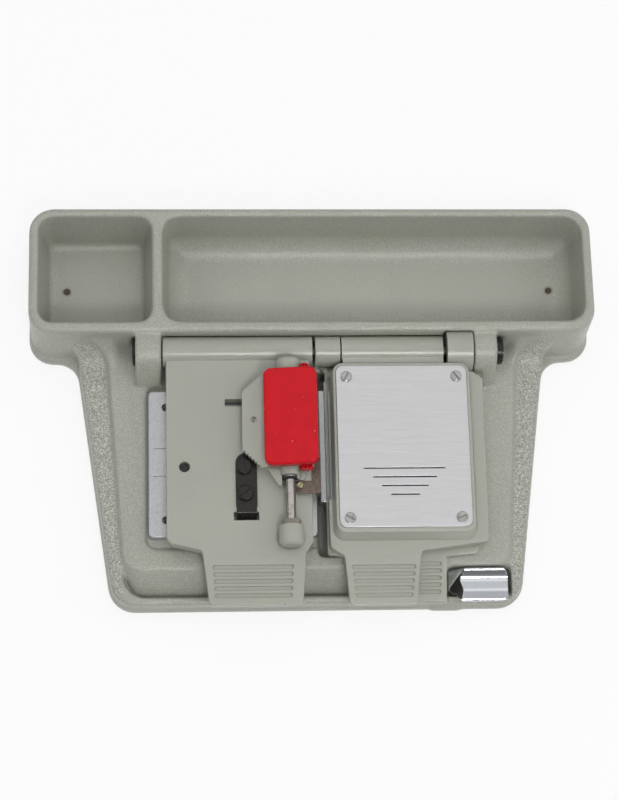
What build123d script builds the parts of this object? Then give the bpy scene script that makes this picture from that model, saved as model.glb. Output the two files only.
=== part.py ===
"""Table-top film splicer, in millimetres, +X right, +Y to the tray at the rear, +Z up.

A T-shaped casting carries a two-part tray at the rear. In front of the tray two hinged halves turn on one
shaft: the left lid with a sliding, rocking scraper, and on the right a lower arm with an upper lid on it.
A small latch lever sits at the front right corner. The origin is on the table, in the middle of the outline.
"""
import os
from math import atan2, degrees

from build123d import *

# ---- the whole object ----
FRAME_SHIFT_Y = 1.135        # from the middle of the casting to the middle of the outline, finger tabs included
FOOT_HEIGHT = 2.5          # how far the rubber feet stand below the casting
FIT = 0.05                 # radial running clearance of a shaft in its bore
GAP = 0.3                  # plain clearance between pieces that move past each other

# ---- base casting ----
HALF_WIDTH = 100.2         # plinth, half the overall width of 200.4
REAR_Y = 70.1
WING_FRONT_Y = 19.2        # front edge of the wings beside the flanks
FRONT_Y = -70.9
PLINTH_TOP = 6.3
PLINTH_LIP = 0.9
PLINTH_ROUND = 0.4         # less than the step between plinth and tray at the rear
TONGUE_X = (39.3, 50.2)    # a small step in the plinth's front edge
LEDGE_Z = 12.4             # lower shoulder round the deck
DECK_Z = 14.5
FLANK_X = 79.6             # plinth half width at FLANK_REF_Y
FLANK_REF_Y = -9.0
FLANK_SLOPE = 0.14         # how fast the flanks widen towards the rear
DECK_X = 70.7
DECK_SLOPE = 0.075
DECK_FRONT_Y = -57.8
SCOOP_FRONT_Y = -67.4      # inner edge of the front lip
SCOOP_FLOOR_Z = 7.4

# ---- tray ----
RIM_Z = 28.0
TRAY_FLOOR_Z = 6.6
TRAY_HALF_WIDTH = 99.5
TRAY_REAR_Y = 69.4
TRAY_FRONT_TOP_Y = 23.4
TRAY_FRONT_FOOT_Y = 20.4
CAVITY_FRONT_Y = 27.0
CAVITY_REAR_Y = 66.3
SMALL_CAVITY_X = (-96.2, -56.4)
LARGE_CAVITY_X = (-52.9, 96.3)
CAVITY_DRAFT = 8.0         # degrees

# ---- hinge line ----
HINGE_Y = 18.3
HINGE_Z = 20.2
SHAFT_R = 2.5
BARREL_R = 5.4             # lid barrels
KNUCKLE_R = 7.7            # ears and the arm's right knuckle
EAR_TOE_Y = 7.4            # where the ears come down to the deck
LEFT_EAR_X = (-62.5, -53.4)
LEFT_BARREL_X = (-52.9, -0.8)
MIDDLE_KNUCKLE_X = (0.3, 9.0)
LID_BARREL_X = (9.5, 45.2)
RIGHT_KNUCKLE_X = (46.5, 55.6)
RIGHT_EAR_X = (56.0, 64.1)
SHAFT_X = (-60.9, 64.1)    # from the left ear's counterbore to the right ear's face

# ---- film beds ----
POCKET_Z = 13.0
LEFT_BED_TOP = 17.4
LEFT_BED_X = (-58.0, 0.1)
LEFT_BED_Y = (-47.5, 4.8)
LEFT_BED_SCREWS = [(-52.0, -1.1), (-52.0, -41.4), (-7.0, -1.1), (-7.0, -41.4)]
RIGHT_BED_TOP = 17.6
RIGHT_BED_X = (4.6, 50.6)
RIGHT_BED_Y = (-46.6, 4.8)
RIGHT_BED_UNDER = 16.0
RIGHT_BED_SCREWS = [(12.0, -1.1), (12.0, -41.4), (46.0, -1.1), (46.0, -41.4)]
FILM_Y = -20.9             # middle of the film path
PIN_Y = (FILM_Y - 6.2, FILM_Y + 6.2)
LEFT_PIN_X = -16.0
RIGHT_PIN_X = 20.0

# ---- left lid ----
LID_UNDER = 18.2
LID_TOP = 23.5
LEFT_LID_X = (-51.9, -1.9)
TAB_FRONT_Y = -72.6
TAB_FOLD_Y = -56.5
TAB_DROP = 2.3             # how far a finger tab falls from the fold to its front edge
GROOVE_PITCH = 2.4
GROOVE_WIDTH = 1.5
GROOVE_DEPTH = 0.5
GROOVE_COUNT = 5

# ---- scraper on its rod ----
ROD_X = -9.6
ROD_Z = 27.4
ROD_R = 1.75
POST_R = 4.35
ROD_ENDS_Y = (-50.6, 12.0)
REAR_POST_Y = (8.4, 13.4)
FRONT_POST_Y = (-53.2, -46.3)
ADJUSTER_PLACE = (-45.64, -24.2)
LEAF_SCREWS = [(-25.2, -24.5), (-24.8, -33.9)]
LEAF_X = (-28.2, -20.8)
BUSH_R = 2.6
BUSH_Y = (-29.3, 5.6)
ROCK_REST = 8.0            # degrees that the scraper stands up, right side high, when nobody presses it
CARRIAGE_UNDER = 25.0
CARRIAGE_TOP = 31.3
CARRIAGE_SCREW_PLACE = (-21.5, -9.1)
GRIP_UNDER = 28.4
BLADE_X = (-7.7, 0.7)
BLADE_Y = (-34.6, -20.0)
BLADE_Z = 24.5
BLADE_THICK = 0.6
BLADE_SCREW_PLACE = (-6.4, -31.7)
BLADE_LEG_X = (-1.6, -0.4)
SPINDLE_X = -3.8
SPINDLE_Z = 29.1
SPINDLE_R = 1.0
KNOBS = [((-27.3, -23.6), 2.2), ((7.2, 10.6), 1.6)]        # (low, high) along Y, and radius
COVER_X = (-17.65, 0.75)

# ---- right half ----
ARM_UNDER = 14.8
ARM_TOP = 17.2
ARM_X = (3.3, 55.4)
ARM_FRONT_Y = -54.1
ARM_TAB_X = (20.0, 44.3)
ARM_TAB_FRONT_Y = -70.6
SHEAR_X = (1.2, 3.3)
SHEAR_SCREW_Y = (-31.0, 0.0)
LID_FLANGE_UNDER = 18.2
FLANGE_TOP = 22.0
LID_HOLLOW_TOP = 23.9
BOSS_TOP = 26.6
BOSS_X = (6.0, 53.6)
BOSS_Y = (-48.3, 12.0)
NECK_Z = 24.2              # the step between the lid's barrel and the boss
NECK_REAR_Y = 14.7
PLATE_X = (7.0, 52.6)
PLATE_Y = (-46.9, 10.9)
PLATE_Z = 26.1
PLATE_THICK = 0.9
PLATE_SCREW_X = (10.6, 48.95)
PLATE_SCREW_Y = (-43.6, 6.8)

# ---- latch ----
LATCH_X = (45.4, 66.0)
LATCH_Y = (-69.8, -58.3)
LATCH_HUB_FRONT_Y = -67.0
LATCH_UNDER = 10.9         # underside of the part that hangs over the front lip
LIP_NOTCH_Z = 9.8
LATCH_PIVOT = (56.5, 8.0)  # X and Z of the pivot pin
LATCH_PIN_R = 1.0
LATCH_PIN_Y = (-69.4, -54.0)

FOOT_SCREW_R = 0.9
FOOT_PLACES = [(-87.0, 45.6), (87.0, 45.6), (-57.0, -58.6), (38.0, -58.6)]


def box(x, y, z, radius=0.0):
    """A block from three (low, high) pairs, its upright edges rounded by radius."""
    width, depth, height = x[1] - x[0], y[1] - y[0], z[1] - z[0]
    foot = Rectangle(width, depth) if radius == 0 else RectangleRounded(width, depth, radius)
    return Pos((x[0] + x[1]) / 2, (y[0] + y[1]) / 2, z[0]) * extrude(foot, height)


def prism(points, z, radii=0.0):
    """An upright prism on a plan outline, each corner rounded by its own radius."""
    outline = make_face(FilletPolyline(*points, radius=radii, close=True))
    return Pos(0, 0, z[0]) * extrude(outline, z[1] - z[0])


def across(x):
    """The plane at x whose sketch axes are Y and Z."""
    return Plane((x, 0, 0), x_dir=(0, 1, 0), z_dir=(1, 0, 0))


def facing_front(y):
    """The plane at y whose sketch axes are X and Z, and which extrudes towards the front."""
    return Plane((0, y, 0), x_dir=(1, 0, 0), z_dir=(0, -1, 0))


def bar(points, x, radii=0.0):
    """A prism along X on a side outline given as (Y, Z) points."""
    outline = make_face(FilletPolyline(*points, radius=radii, close=True))
    return extrude(across(x[0]) * outline, x[1] - x[0])


def rod(radius, x, y, z):
    """A cylinder along the one axis that is given as a (low, high) pair."""
    for axis, span in enumerate((x, y, z)):
        if isinstance(span, tuple):
            length = span[1] - span[0]
            centre = [x, y, z]
            centre[axis] = (span[0] + span[1]) / 2
            turn = (Rot(0, 90, 0), Rot(90, 0, 0), Rot(0, 0, 0))[axis]
            return Pos(*centre) * turn * Cylinder(radius, length)


def flat_edges(solid, z):
    """The edges that lie wholly at height z."""
    return solid.edges().filter_by_position(Axis.Z, z - 0.001, z + 0.001)


def slotted_screw(x, y, z, head_r, head_h, shank_r, shank_l, turn, slot=0.45, round_edge=0.0):
    """A screw with its head's underside at z and its slot turned from X by turn degrees."""
    head = Cylinder(head_r, head_h, align=(Align.CENTER, Align.CENTER, Align.MIN))
    if round_edge:
        head = fillet(head.edges().group_by(Axis.Z)[-1], round_edge)
    depth = head_h * 0.45
    head -= Pos(0, 0, head_h - depth / 2) * Rot(0, 0, turn) * Box(head_r * 3, slot, depth)
    shank = Pos(0, 0, -shank_l) * Cylinder(shank_r, shank_l, align=(Align.CENTER, Align.CENTER, Align.MIN))
    return Pos(x, y, z) * (head + shank)


def flank(y):
    """Half width of the plinth at y."""
    return FLANK_X + FLANK_SLOPE * (y - FLANK_REF_Y)


def deck_side(y):
    """Half width of the deck at y."""
    return DECK_X + DECK_SLOPE * (y - FLANK_REF_Y)


# ---------------------------------------------------------------- base casting
def plinth():
    front = WING_FRONT_Y
    points = [(-HALF_WIDTH, REAR_Y), (HALF_WIDTH, REAR_Y), (HALF_WIDTH, front), (flank(front), front),
              (flank(FRONT_Y), FRONT_Y), (-flank(FRONT_Y), FRONT_Y), (-flank(front), front),
              (-HALF_WIDTH, front)]
    slab = prism(points, (FOOT_HEIGHT, PLINTH_TOP), [9.5, 9.5, 8.5, 8.0, 9.5, 9.5, 8.0, 8.5])
    return fillet(flat_edges(slab, PLINTH_TOP), PLINTH_ROUND)


def shoulder():
    """The stem of the T up to the ledge, tucked into the tray at the rear."""
    rear, front = WING_FRONT_Y + 8.0, FRONT_Y + PLINTH_LIP
    points = [(-flank(rear) + PLINTH_LIP, rear), (flank(rear) - PLINTH_LIP, rear),
              (flank(front) - PLINTH_LIP, front), (-flank(front) + PLINTH_LIP, front)]
    stem = prism(points, (FOOT_HEIGHT, LEDGE_Z), [0, 0, 8.6, 8.6])
    return fillet(flat_edges(stem, LEDGE_Z), 1.3)


def deck_outline(front, inset, corner):
    rear = TRAY_FRONT_TOP_Y + 1.0
    left = -deck_side(front) + inset
    right = deck_side(front) - inset
    points = [(-deck_side(rear) + inset, rear), (deck_side(rear) - inset, rear), (right, front), (left, front)]
    return make_face(FilletPolyline(*points, radius=[0, 0, corner, corner], close=True))


def deck():
    """The raised deck, whose front falls in a smooth slope to the bottom of the finger scoop."""
    top = Pos(0, 0, DECK_Z) * deck_outline(DECK_FRONT_Y, 0.25, 7.0)
    foot = Pos(0, 0, SCOOP_FLOOR_Z) * deck_outline(SCOOP_FRONT_Y + 0.6, 0.05, 7.4)
    block = loft([foot, top])
    block = fillet(flat_edges(block, DECK_Z).filter_by_position(Axis.Y, -90, 20), 1.1)
    return block + box((-60, 60), (SCOOP_FRONT_Y + 8, 20), (FOOT_HEIGHT, SCOOP_FLOOR_Z + 1))


def tray_body():
    """The tray block, with a front that leans back towards the rim."""
    def outline(front, half, z, corner):
        middle = (front + TRAY_REAR_Y) / 2
        plan = RectangleRounded(2 * half, TRAY_REAR_Y - front, corner)
        return Pos(0, middle, z) * plan
    block = loft([outline(TRAY_FRONT_FOOT_Y, TRAY_HALF_WIDTH - 0.1, FOOT_HEIGHT, 8.6),
                  outline(TRAY_FRONT_TOP_Y, TRAY_HALF_WIDTH, RIM_Z, 8.6)], ruled=True)
    return fillet(flat_edges(block, RIM_Z), 1.5)


def cavity(x, corner):
    """A tapered tray compartment, rounded at its floor and at its mouth."""
    width, depth = x[1] - x[0], CAVITY_REAR_Y - CAVITY_FRONT_Y
    mouth = RectangleRounded(width, depth, corner)
    hollow = extrude(mouth, -(RIM_Z - TRAY_FLOOR_Z), taper=CAVITY_DRAFT)
    hollow = fillet(hollow.edges().group_by(Axis.Z)[0], 2.6)
    lip = extrude(RectangleRounded(width, depth, corner), 2)
    return Pos((x[0] + x[1]) / 2, (CAVITY_FRONT_Y + CAVITY_REAR_Y) / 2, RIM_Z) * (hollow + lip)


def ear(x):
    """A hinge ear: a round boss on the hinge axis that slopes down to a rounded toe on the deck."""
    boss = Pos(HINGE_Y, HINGE_Z) * Circle(KNUCKLE_R)
    toe = Pos(EAR_TOE_Y, DECK_Z - 1.0) * Circle(1.0)
    side = make_hull([*boss.edges(), *toe.edges()])
    side += Pos((HINGE_Y + 24.0) / 2, 12) * Rectangle(24.0 - HINGE_Y, 8)
    side += Pos((EAR_TOE_Y + HINGE_Y) / 2, 11.5) * Rectangle(HINGE_Y - EAR_TOE_Y, 6)
    return extrude(across(x[0]) * side, x[1] - x[0]) & box(x, (EAR_TOE_Y - 1.1, 40), (5, 40), 2.6)


def base_casting():
    body = plinth() + shoulder()
    body += box(TONGUE_X, (FRONT_Y - 0.5, FRONT_Y + 3), (FOOT_HEIGHT, PLINTH_TOP - 0.7), 0.8)
    inner = Pos(0, 0, SCOOP_FLOOR_Z - 0.6) * extrude(deck_outline(SCOOP_FRONT_Y, 0.0, 8.0), 20)
    body = body - inner + deck() + tray_body() + ear(LEFT_EAR_X) + ear(RIGHT_EAR_X)
    body -= cavity(SMALL_CAVITY_X, 5.0)
    body -= cavity(LARGE_CAVITY_X, 6.5)

    # room for the barrels to turn, and the bore for the shaft
    body -= rod(BARREL_R + 0.35, (LEFT_EAR_X[1], LID_BARREL_X[1] + 0.6), HINGE_Y, HINGE_Z)
    body -= rod(KNUCKLE_R + 0.5, (LID_BARREL_X[1] + 0.6, RIGHT_EAR_X[0]), HINGE_Y, HINGE_Z)
    body -= rod(SHAFT_R, (LEFT_EAR_X[0] - 1, RIGHT_EAR_X[1] + 1), HINGE_Y, HINGE_Z)
    body -= rod(5.6, (LEFT_EAR_X[0] - 1, SHAFT_X[0]), HINGE_Y, HINGE_Z)
    body -= rod(5.3, (SHAFT_X[1], SHAFT_X[1] + 3.4), HINGE_Y, HINGE_Z)
    body -= box((RIGHT_EAR_X[0] - 0.1, 59.4), (0, 10.75), (LID_FLANGE_UNDER - 0.4, 40))

    # pocket of the left film bed, and the well between the two halves
    pocket = box((LEFT_BED_X[0] - 0.9, 8.2), (-51.0, 7.2), (POCKET_Z, 20), 3.4)
    body -= fillet(flat_edges(pocket, POCKET_Z), 0.8)
    body -= box((0.5, 7.8), (-54.0, 12.5), (5.2, 20), 1.2)

    body -= box((LID_BARREL_X[1] + 1.0, RIGHT_EAR_X[0]), (10.0, HINGE_Y), (13.2, 20))

    # latch bay at the right end of the scoop, with a notch in the front lip
    bay = (LATCH_X[0] - 0.8, LATCH_X[1] + 1.1)
    body -= box(bay, (LATCH_HUB_FRONT_Y - 0.5, LATCH_Y[1] + 0.6), (5.0, 20), 2.0)
    body -= box(bay, (LATCH_HUB_FRONT_Y - 8, LATCH_HUB_FRONT_Y + 1.5), (LIP_NOTCH_Z, 20))
    body -= rod(LATCH_PIN_R, LATCH_PIVOT[0], LATCH_PIN_Y, LATCH_PIVOT[1])

    # hollow underside
    body -= box((-95, 95), (30, 66), (0, 3.8), 6)
    for x in ((-62.5, -4.0), (11.6, 62.5)):
        body -= box(x, (-50.0, 12.5), (0, 10.3), 5)

    # holes for the screws of the feet and of the left bed
    for x, y in FOOT_PLACES:
        depth = TRAY_FLOOR_Z + 1 if y > 0 else 6.5
        body -= rod(FOOT_SCREW_R, x, y, (0, depth))
        if y > 0:
            body -= rod(1.15, x, y, (TRAY_FLOOR_Z - 0.8, depth))
    for x, y in LEFT_BED_SCREWS:
        body -= rod(0.7, x, y, (POCKET_Z - 1.4, 20))
    return body


def rubber_feet():
    feet = Part()
    for x, y in FOOT_PLACES:
        foot = Pos(x, y, 0) * extrude(Circle(6.0), FOOT_HEIGHT, taper=-6)
        foot -= rod(2.6, x, y, (0, 1.5))
        feet += foot - rod(FOOT_SCREW_R, x, y, (0, FOOT_HEIGHT))
    return feet


def foot_screws():
    """Screws from below, whose ends show in two small holes in the tray floor."""
    screws = Part()
    for x, y in FOOT_PLACES:
        length = TRAY_FLOOR_Z - 0.35 if y > 0 else 6.3
        head = rod(2.5, x, y, (0.3, 1.5)) - Pos(x, y, 0.55) * Box(6, 0.6, 0.5)
        screws += head + rod(FOOT_SCREW_R, x, y, (1.5, length))
    return screws


def hinge_shaft():
    """The steel shaft, threaded at both ends for the hinge screws."""
    shaft = rod(SHAFT_R, SHAFT_X, HINGE_Y, HINGE_Z)
    for end in SHAFT_X:
        shaft -= rod(1.5, (end - 7, end + 7), HINGE_Y, HINGE_Z)
    return shaft


def hinge_screw(end, side):
    """A black slotted screw in one end of the shaft; side is -1 at the left end and 1 at the right."""
    head = rod(4.9, tuple(sorted((end, end + side * 2.6))), HINGE_Y, HINGE_Z)
    head = fillet(head.edges().sort_by(Axis.X)[0 if side < 0 else -1], 0.9)
    slot = Pos(end + side * 2.6, HINGE_Y, HINGE_Z) * Rot(28, 0, 0) * Box(2.2, 0.9, 12)
    return head - slot + rod(1.5, tuple(sorted((end, end - side * 6))), HINGE_Y, HINGE_Z)


# ---------------------------------------------------------------- film beds
def film_bed(x, y, z):
    plate = box(x, y, z, 1.6)
    return fillet(flat_edges(plate, z[1]), 0.35)


def screw_holes(bed, places, top):
    for x, y in places:
        bed -= rod(1.35, x, y, (top - 1.4, top + 1))
        bed -= rod(0.7, x, y, (top - 10, top))
    return bed


def left_film_bed():
    bed = film_bed(LEFT_BED_X, LEFT_BED_Y, (POCKET_Z, LEFT_BED_TOP))
    bed = screw_holes(bed, LEFT_BED_SCREWS, LEFT_BED_TOP)
    for y in (FILM_Y - 5.0, FILM_Y + 5.0):
        bed -= Pos(-54.0, y, LEFT_BED_TOP) * Box(4.6, 0.16, 0.3)
    for y in PIN_Y:
        bed -= rod(0.5, LEFT_PIN_X, y, (LEFT_BED_TOP - 2, LEFT_BED_TOP + 1))
    return bed


def bed_screws(places, top, length):
    screws = Part()
    for index, (x, y) in enumerate(places):
        screws += slotted_screw(x, y, top - 1.4, 1.05, 1.1, 0.7, length, 35 + 50 * index, 0.3)
    return screws


def film_pins(x, top):
    """Round pins that take the film's perforations."""
    pins = Part()
    for y in PIN_Y:
        pin = rod(0.5, x, y, (top - 2, top + 0.5))
        pins += fillet(pin.edges().group_by(Axis.Z)[-1], 0.25)
    return pins


# ---------------------------------------------------------------- left lid
def tab_plane(top):
    """The sloping top of a finger tab, its X axis along the fold line."""
    fall = TAB_DROP / (TAB_FOLD_Y - TAB_FRONT_Y)
    return Plane((0, TAB_FOLD_Y, top), x_dir=(1, 0, 0), z_dir=(0, -fall, 1))


def tab_grooves(top, x, first_y, shrink):
    """Stadium-shaped finger grooves across a tab, each a little shorter than the one behind it."""
    grooves = Part()
    for index in range(GROOVE_COUNT):
        length = x[1] - x[0] - index * shrink
        place = tab_plane(top) * Pos((x[0] + x[1]) / 2, first_y - TAB_FOLD_Y - index * GROOVE_PITCH, 0)
        grooves += place * extrude(SlotOverall(length, GROOVE_WIDTH), GROOVE_DEPTH, both=True)
    return grooves


def lid_slab(plan, radii, top, under, front, rear):
    """A lid on a plan outline: flat to the fold, its finger tab bent down, with a rounded top edge."""
    slab = prism(plan, (under - 3, top), radii)
    rim = flat_edges(slab, top).filter_by(lambda edge: edge.position_at(0.5).Y < rear - 0.3)
    slab = fillet(rim, 0.5)
    tilt = degrees(atan2(TAB_DROP, TAB_FOLD_Y - TAB_FRONT_Y))
    fold = Pos(0, TAB_FOLD_Y, top)
    behind = fold * Rot(tilt / 2, 0, 0) * Box(300, 100, 100, align=(Align.CENTER, Align.MIN, Align.CENTER))
    ahead = fold * Rot(tilt / 2, 0, 0) * Box(300, 100, 100, align=(Align.CENTER, Align.MAX, Align.CENTER))
    tab = fold * Rot(tilt, 0, 0) * Pos(0, -TAB_FOLD_Y, -top) * slab
    lid = (slab & behind) + (tab & ahead)
    sides = [(rear + 1, under), (rear + 1, top + 5), (front - 5, top + 5), (front - 5, under - 0.7),
             (TAB_FOLD_Y + 1, under)]
    return lid & bar(sides, (plan_limits(plan, 0)[0] - 1, plan_limits(plan, 0)[1] + 1))


def plan_limits(plan, axis):
    values = [point[axis] for point in plan]
    return min(values), max(values)


def left_lid():
    left, right = LEFT_LID_X
    rear = 14.5
    plan = [(left, rear), (right, rear), (right, -51.0), (-4.6, -54.6), (-5.7, TAB_FRONT_Y),
            (-37.5, TAB_FRONT_Y), (-39.9, -53.5), (-50.4, -51.0), (left, -49.2)]
    radii = [0, 0, 1.4, 1.4, 1.8, 1.8, 1.3, 1.0, 1.0]
    lid = lid_slab(plan, radii, LID_TOP, LID_UNDER, TAB_FRONT_Y, rear)
    lid += rod(BARREL_R, LEFT_BARREL_X, HINGE_Y, HINGE_Z)

    # posts that hold the guide rod
    for span, blend, end in ((REAR_POST_Y, 1.8, -1), (FRONT_POST_Y, 1.5, 0)):
        post = rod(POST_R, ROD_X, span, ROD_Z)
        post = fillet(post.edges().filter_by(GeomType.CIRCLE).sort_by(Axis.Y)[end], blend)
        web_span = (span[0] + (blend if end == 0 else 0), span[1] - (blend if end == -1 else 0))
        lid += post + box((ROD_X - POST_R + 0.1, ROD_X + POST_R - 0.1), web_span, (LID_TOP - 2, ROD_Z))
    lid -= rod(ROD_R, ROD_X, ROD_ENDS_Y, ROD_Z)

    # cut-outs: adjusting hole, the two spring slots, finger grooves, shaft bore
    lid -= rod(1.9, *ADJUSTER_PLACE, (10, 30))
    lid -= box((-31.6, -17.0), (-2.65, 0.05), (10, LID_TOP + 1), 0.4)
    lid -= box((-29.0, -20.3), (-43.2, -40.2), (10, LID_TOP + 1))
    lid -= tab_grooves(LID_TOP, (-36.4, -8.8), -59.5, 0.3)
    lid -= rod(SHAFT_R + FIT, (left - 3, right + 3), HINGE_Y, HINGE_Z)
    for x, y in LEAF_SCREWS:
        lid -= rod(1.25, x, y, (LID_UNDER + 1, LID_TOP + 1))
    return lid


def film_leaf_spring():
    """A black leaf on the lid whose front end dips through a slot to hold the film."""
    thick = 0.6
    flat = box(LEAF_X, (-38.6, -23.2), (LID_TOP, LID_TOP + thick))
    flat += Pos((LEAF_X[0] + LEAF_X[1]) / 2, -23.2, LID_TOP) * extrude(Circle((LEAF_X[1] - LEAF_X[0]) / 2), thick)
    dip = [(-38.6, LID_TOP), (-38.6, LID_TOP + thick), (-40.7, LID_TOP + thick), (-42.3, LID_TOP - 1.6),
           (-42.3, LID_UNDER - 0.3), (-41.7, LID_UNDER - 0.3), (-41.7, LID_TOP - 1.6), (-40.4, LID_TOP)]
    leaf = flat + bar(dip, (LEAF_X[0] + 0.2, LEAF_X[1] - 0.2), [0, 0, 0.9, 0.9, 0, 0, 0.4, 0.4])
    for x, y in LEAF_SCREWS:
        leaf -= rod(1.25, x, y, (LID_TOP - 1, LID_TOP + 2))
    return leaf


def leaf_spring_screws():
    screws = Part()
    for (x, y), turn in zip(LEAF_SCREWS, (102, 34)):
        screws += slotted_screw(x, y, LID_TOP + 0.6, 2.75, 1.7, 1.25, 4.5, turn, 0.7, 0.6)
    return screws


def pressure_pad(x, z, pin_x):
    """A plate under a lid that presses the film flat, relieved over the pins."""
    pad = box(x, (FILM_Y - 10.6, FILM_Y + 10.6), z, 1.0)
    for y in PIN_Y:
        pad -= rod(0.9, pin_x, y, (z[0] - 1, z[1] + 1))
    return pad


def pad_adjusting_screw():
    x, y = ADJUSTER_PLACE
    screw = rod(1.9, x, y, (LID_UNDER, LID_TOP - 2.0))
    return screw - Pos(x, y, LID_TOP - 2.0) * Rot(0, 0, 60) * Box(5, 0.7, 1.2)


def stop_collar():
    """The bumper ring that the scraper's bush meets at the front of the rod."""
    ring = rod(3.4, ROD_X, (FRONT_POST_Y[1], FRONT_POST_Y[1] + 2.1), ROD_Z)
    ring = fillet(ring.edges().filter_by(GeomType.CIRCLE), 0.4)
    return ring - rod(ROD_R, ROD_X, (-60, -40), ROD_Z)


# ---------------------------------------------------------------- scraper
def guide_bush():
    bush = rod(BUSH_R, ROD_X, BUSH_Y, ROD_Z)
    return bush - rod(ROD_R + FIT, ROD_X, (BUSH_Y[0] - 1, BUSH_Y[1] + 1), ROD_Z)


def bush_wiper_ring():
    ring = rod(BUSH_R, ROD_X, (BUSH_Y[0] - 0.7, BUSH_Y[0]), ROD_Z)
    return ring - rod(ROD_R + FIT, ROD_X, (BUSH_Y[0] - 2, BUSH_Y[0] + 1), ROD_Z)


def serrate(plate, start, end, z, teeth):
    """Cut a row of small V notches into a plate's straight edge, from one corner to the other."""
    start, end = Vector(*start, 0), Vector(*end, 0)
    for index in range(teeth):
        place = start + (end - start) * ((index + 0.5) / teeth)
        angle = Vector(1, 0, 0).get_signed_angle(end - start, Vector(0, 0, 1))
        plate -= Pos(place.X, place.Y, (z[0] + z[1]) / 2) * Rot(0, 0, angle + 45) * Box(0.9, 0.9, z[1] - z[0] + 1)
    return plate


def carriage_body():
    """The painted scraper block, drawn as it lies when pressed down."""
    block = box((-17.6, -1.5), (-25.9, 6.6), (CARRIAGE_UNDER, CARRIAGE_TOP), 1.2)
    grip = [(-17.0, 6.9), (-19.0, 6.9), (-25.5, 1.4), (-25.5, -20.1), (-19.4, -26.0), (-17.0, -26.0)]
    plate = prism(grip, (GRIP_UNDER, CARRIAGE_TOP - 0.6), [0, 0.6, 0.6, 0.6, 0.6, 0])
    span = (GRIP_UNDER, CARRIAGE_TOP - 0.6)
    plate = serrate(plate, grip[1], grip[2], span, 6)
    plate = serrate(plate, grip[3], grip[4], span, 6)
    block += plate

    # front end: collar round the bush, corner wedge, lug, and the thin foot under the blade
    block += prism([(-17.6, -25.5), (-12.4, -25.5), (-12.4, -32.2), (-13.4, -32.2)], (25.2, 28.6))
    block += box((-7.9, -4.4), (-30.1, -24.5), (BLADE_Z, 28.4), 1.4)
    block += rod(BUSH_R + 0.9, ROD_X, (-28.7, -25.5), ROD_Z)
    block += box((-7.9, -2.6), (-33.4, -16.0), (BLADE_Z - 0.5, CARRIAGE_UNDER + 0.5))
    block -= box((-8.0, 3.0), (-40.0, BLADE_Y[1] + 0.1), (BLADE_Z, BLADE_Z + BLADE_THICK))
    block -= box((-8.0, 3.0), (-40.0, -30.1), (BLADE_Z, 40))

    block -= rod(BUSH_R + FIT, ROD_X, (-40, 20), ROD_Z)
    block -= rod(SPINDLE_R + FIT, SPINDLE_X, (-40, 20), SPINDLE_Z)
    (knob_front, knob_rear), knob_r = KNOBS[0]
    room = knob_r + 0.4
    block -= box((SPINDLE_X - room, 2.0), (knob_front - 8, knob_rear + GAP), (SPINDLE_Z - room, 40))
    block -= rod(1.15, *CARRIAGE_SCREW_PLACE, (GRIP_UNDER - 1, 40))
    block -= rod(0.75, *BLADE_SCREW_PLACE, (20, BLADE_Z + 1))
    return block


def carriage_adjusting_screw():
    x, y = CARRIAGE_SCREW_PLACE
    screw = rod(1.15, x, y, (GRIP_UNDER, CARRIAGE_TOP - 1.1))
    return screw - Pos(x, y, CARRIAGE_TOP - 1.1) * Rot(0, 0, 72) * Box(3, 0.45, 0.8)


def scraper_cover():
    """The glossy red cap, crowned a little and rounded all round."""
    cap = box(COVER_X, (-26.4, 8.0), (CARRIAGE_TOP, CARRIAGE_TOP + 3.9), 2.7)
    cap = fillet(flat_edges(cap, CARRIAGE_TOP + 3.9), 0.9)
    return fillet(flat_edges(cap, CARRIAGE_TOP), 0.4)


def scraper_blade():
    """A thin steel plate with a narrow leg at its right end that scrapes the film's edge."""
    blade = box(BLADE_X, BLADE_Y, (BLADE_Z, BLADE_Z + BLADE_THICK), 0.5)
    blade += box(BLADE_LEG_X, (BLADE_Y[0], BLADE_Y[0] + 0.9), (LEFT_BED_TOP + 0.3, BLADE_Z + BLADE_THICK))
    blade -= rod(0.75, *BLADE_SCREW_PLACE, (20, 30))
    return blade


def blade_screw():
    x, y = BLADE_SCREW_PLACE
    return slotted_screw(x, y, BLADE_Z + BLADE_THICK, 1.2, 1.3, 0.75, BLADE_THICK + 0.5, 20, 0.35, 0.3)


def scraper_spindle():
    """A red spindle along the scraper, with a toothed knob at each end."""
    spindle = rod(SPINDLE_R, SPINDLE_X, (KNOBS[0][0][0], KNOBS[1][0][1]), SPINDLE_Z)
    for (start, end), radius in KNOBS:
        knob = rod(radius, SPINDLE_X, (start, end), SPINDLE_Z)
        for index in range(7):
            turn = Pos(SPINDLE_X, (start + end) / 2, SPINDLE_Z) * Rot(0, 360 / 7 * index, 0)
            knob -= turn * Pos(radius, 0, 0) * Rot(0, 45, 0) * Box(0.52 * radius, 6, 0.52 * radius)
        spindle += knob
    return spindle


def at_rest(piece):
    """Rock a scraper piece about the rod from the pressed pose to the raised rest pose."""
    return Pos(ROD_X, 0, ROD_Z) * Rot(0, -ROCK_REST, 0) * Pos(-ROD_X, 0, -ROD_Z) * piece


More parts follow.
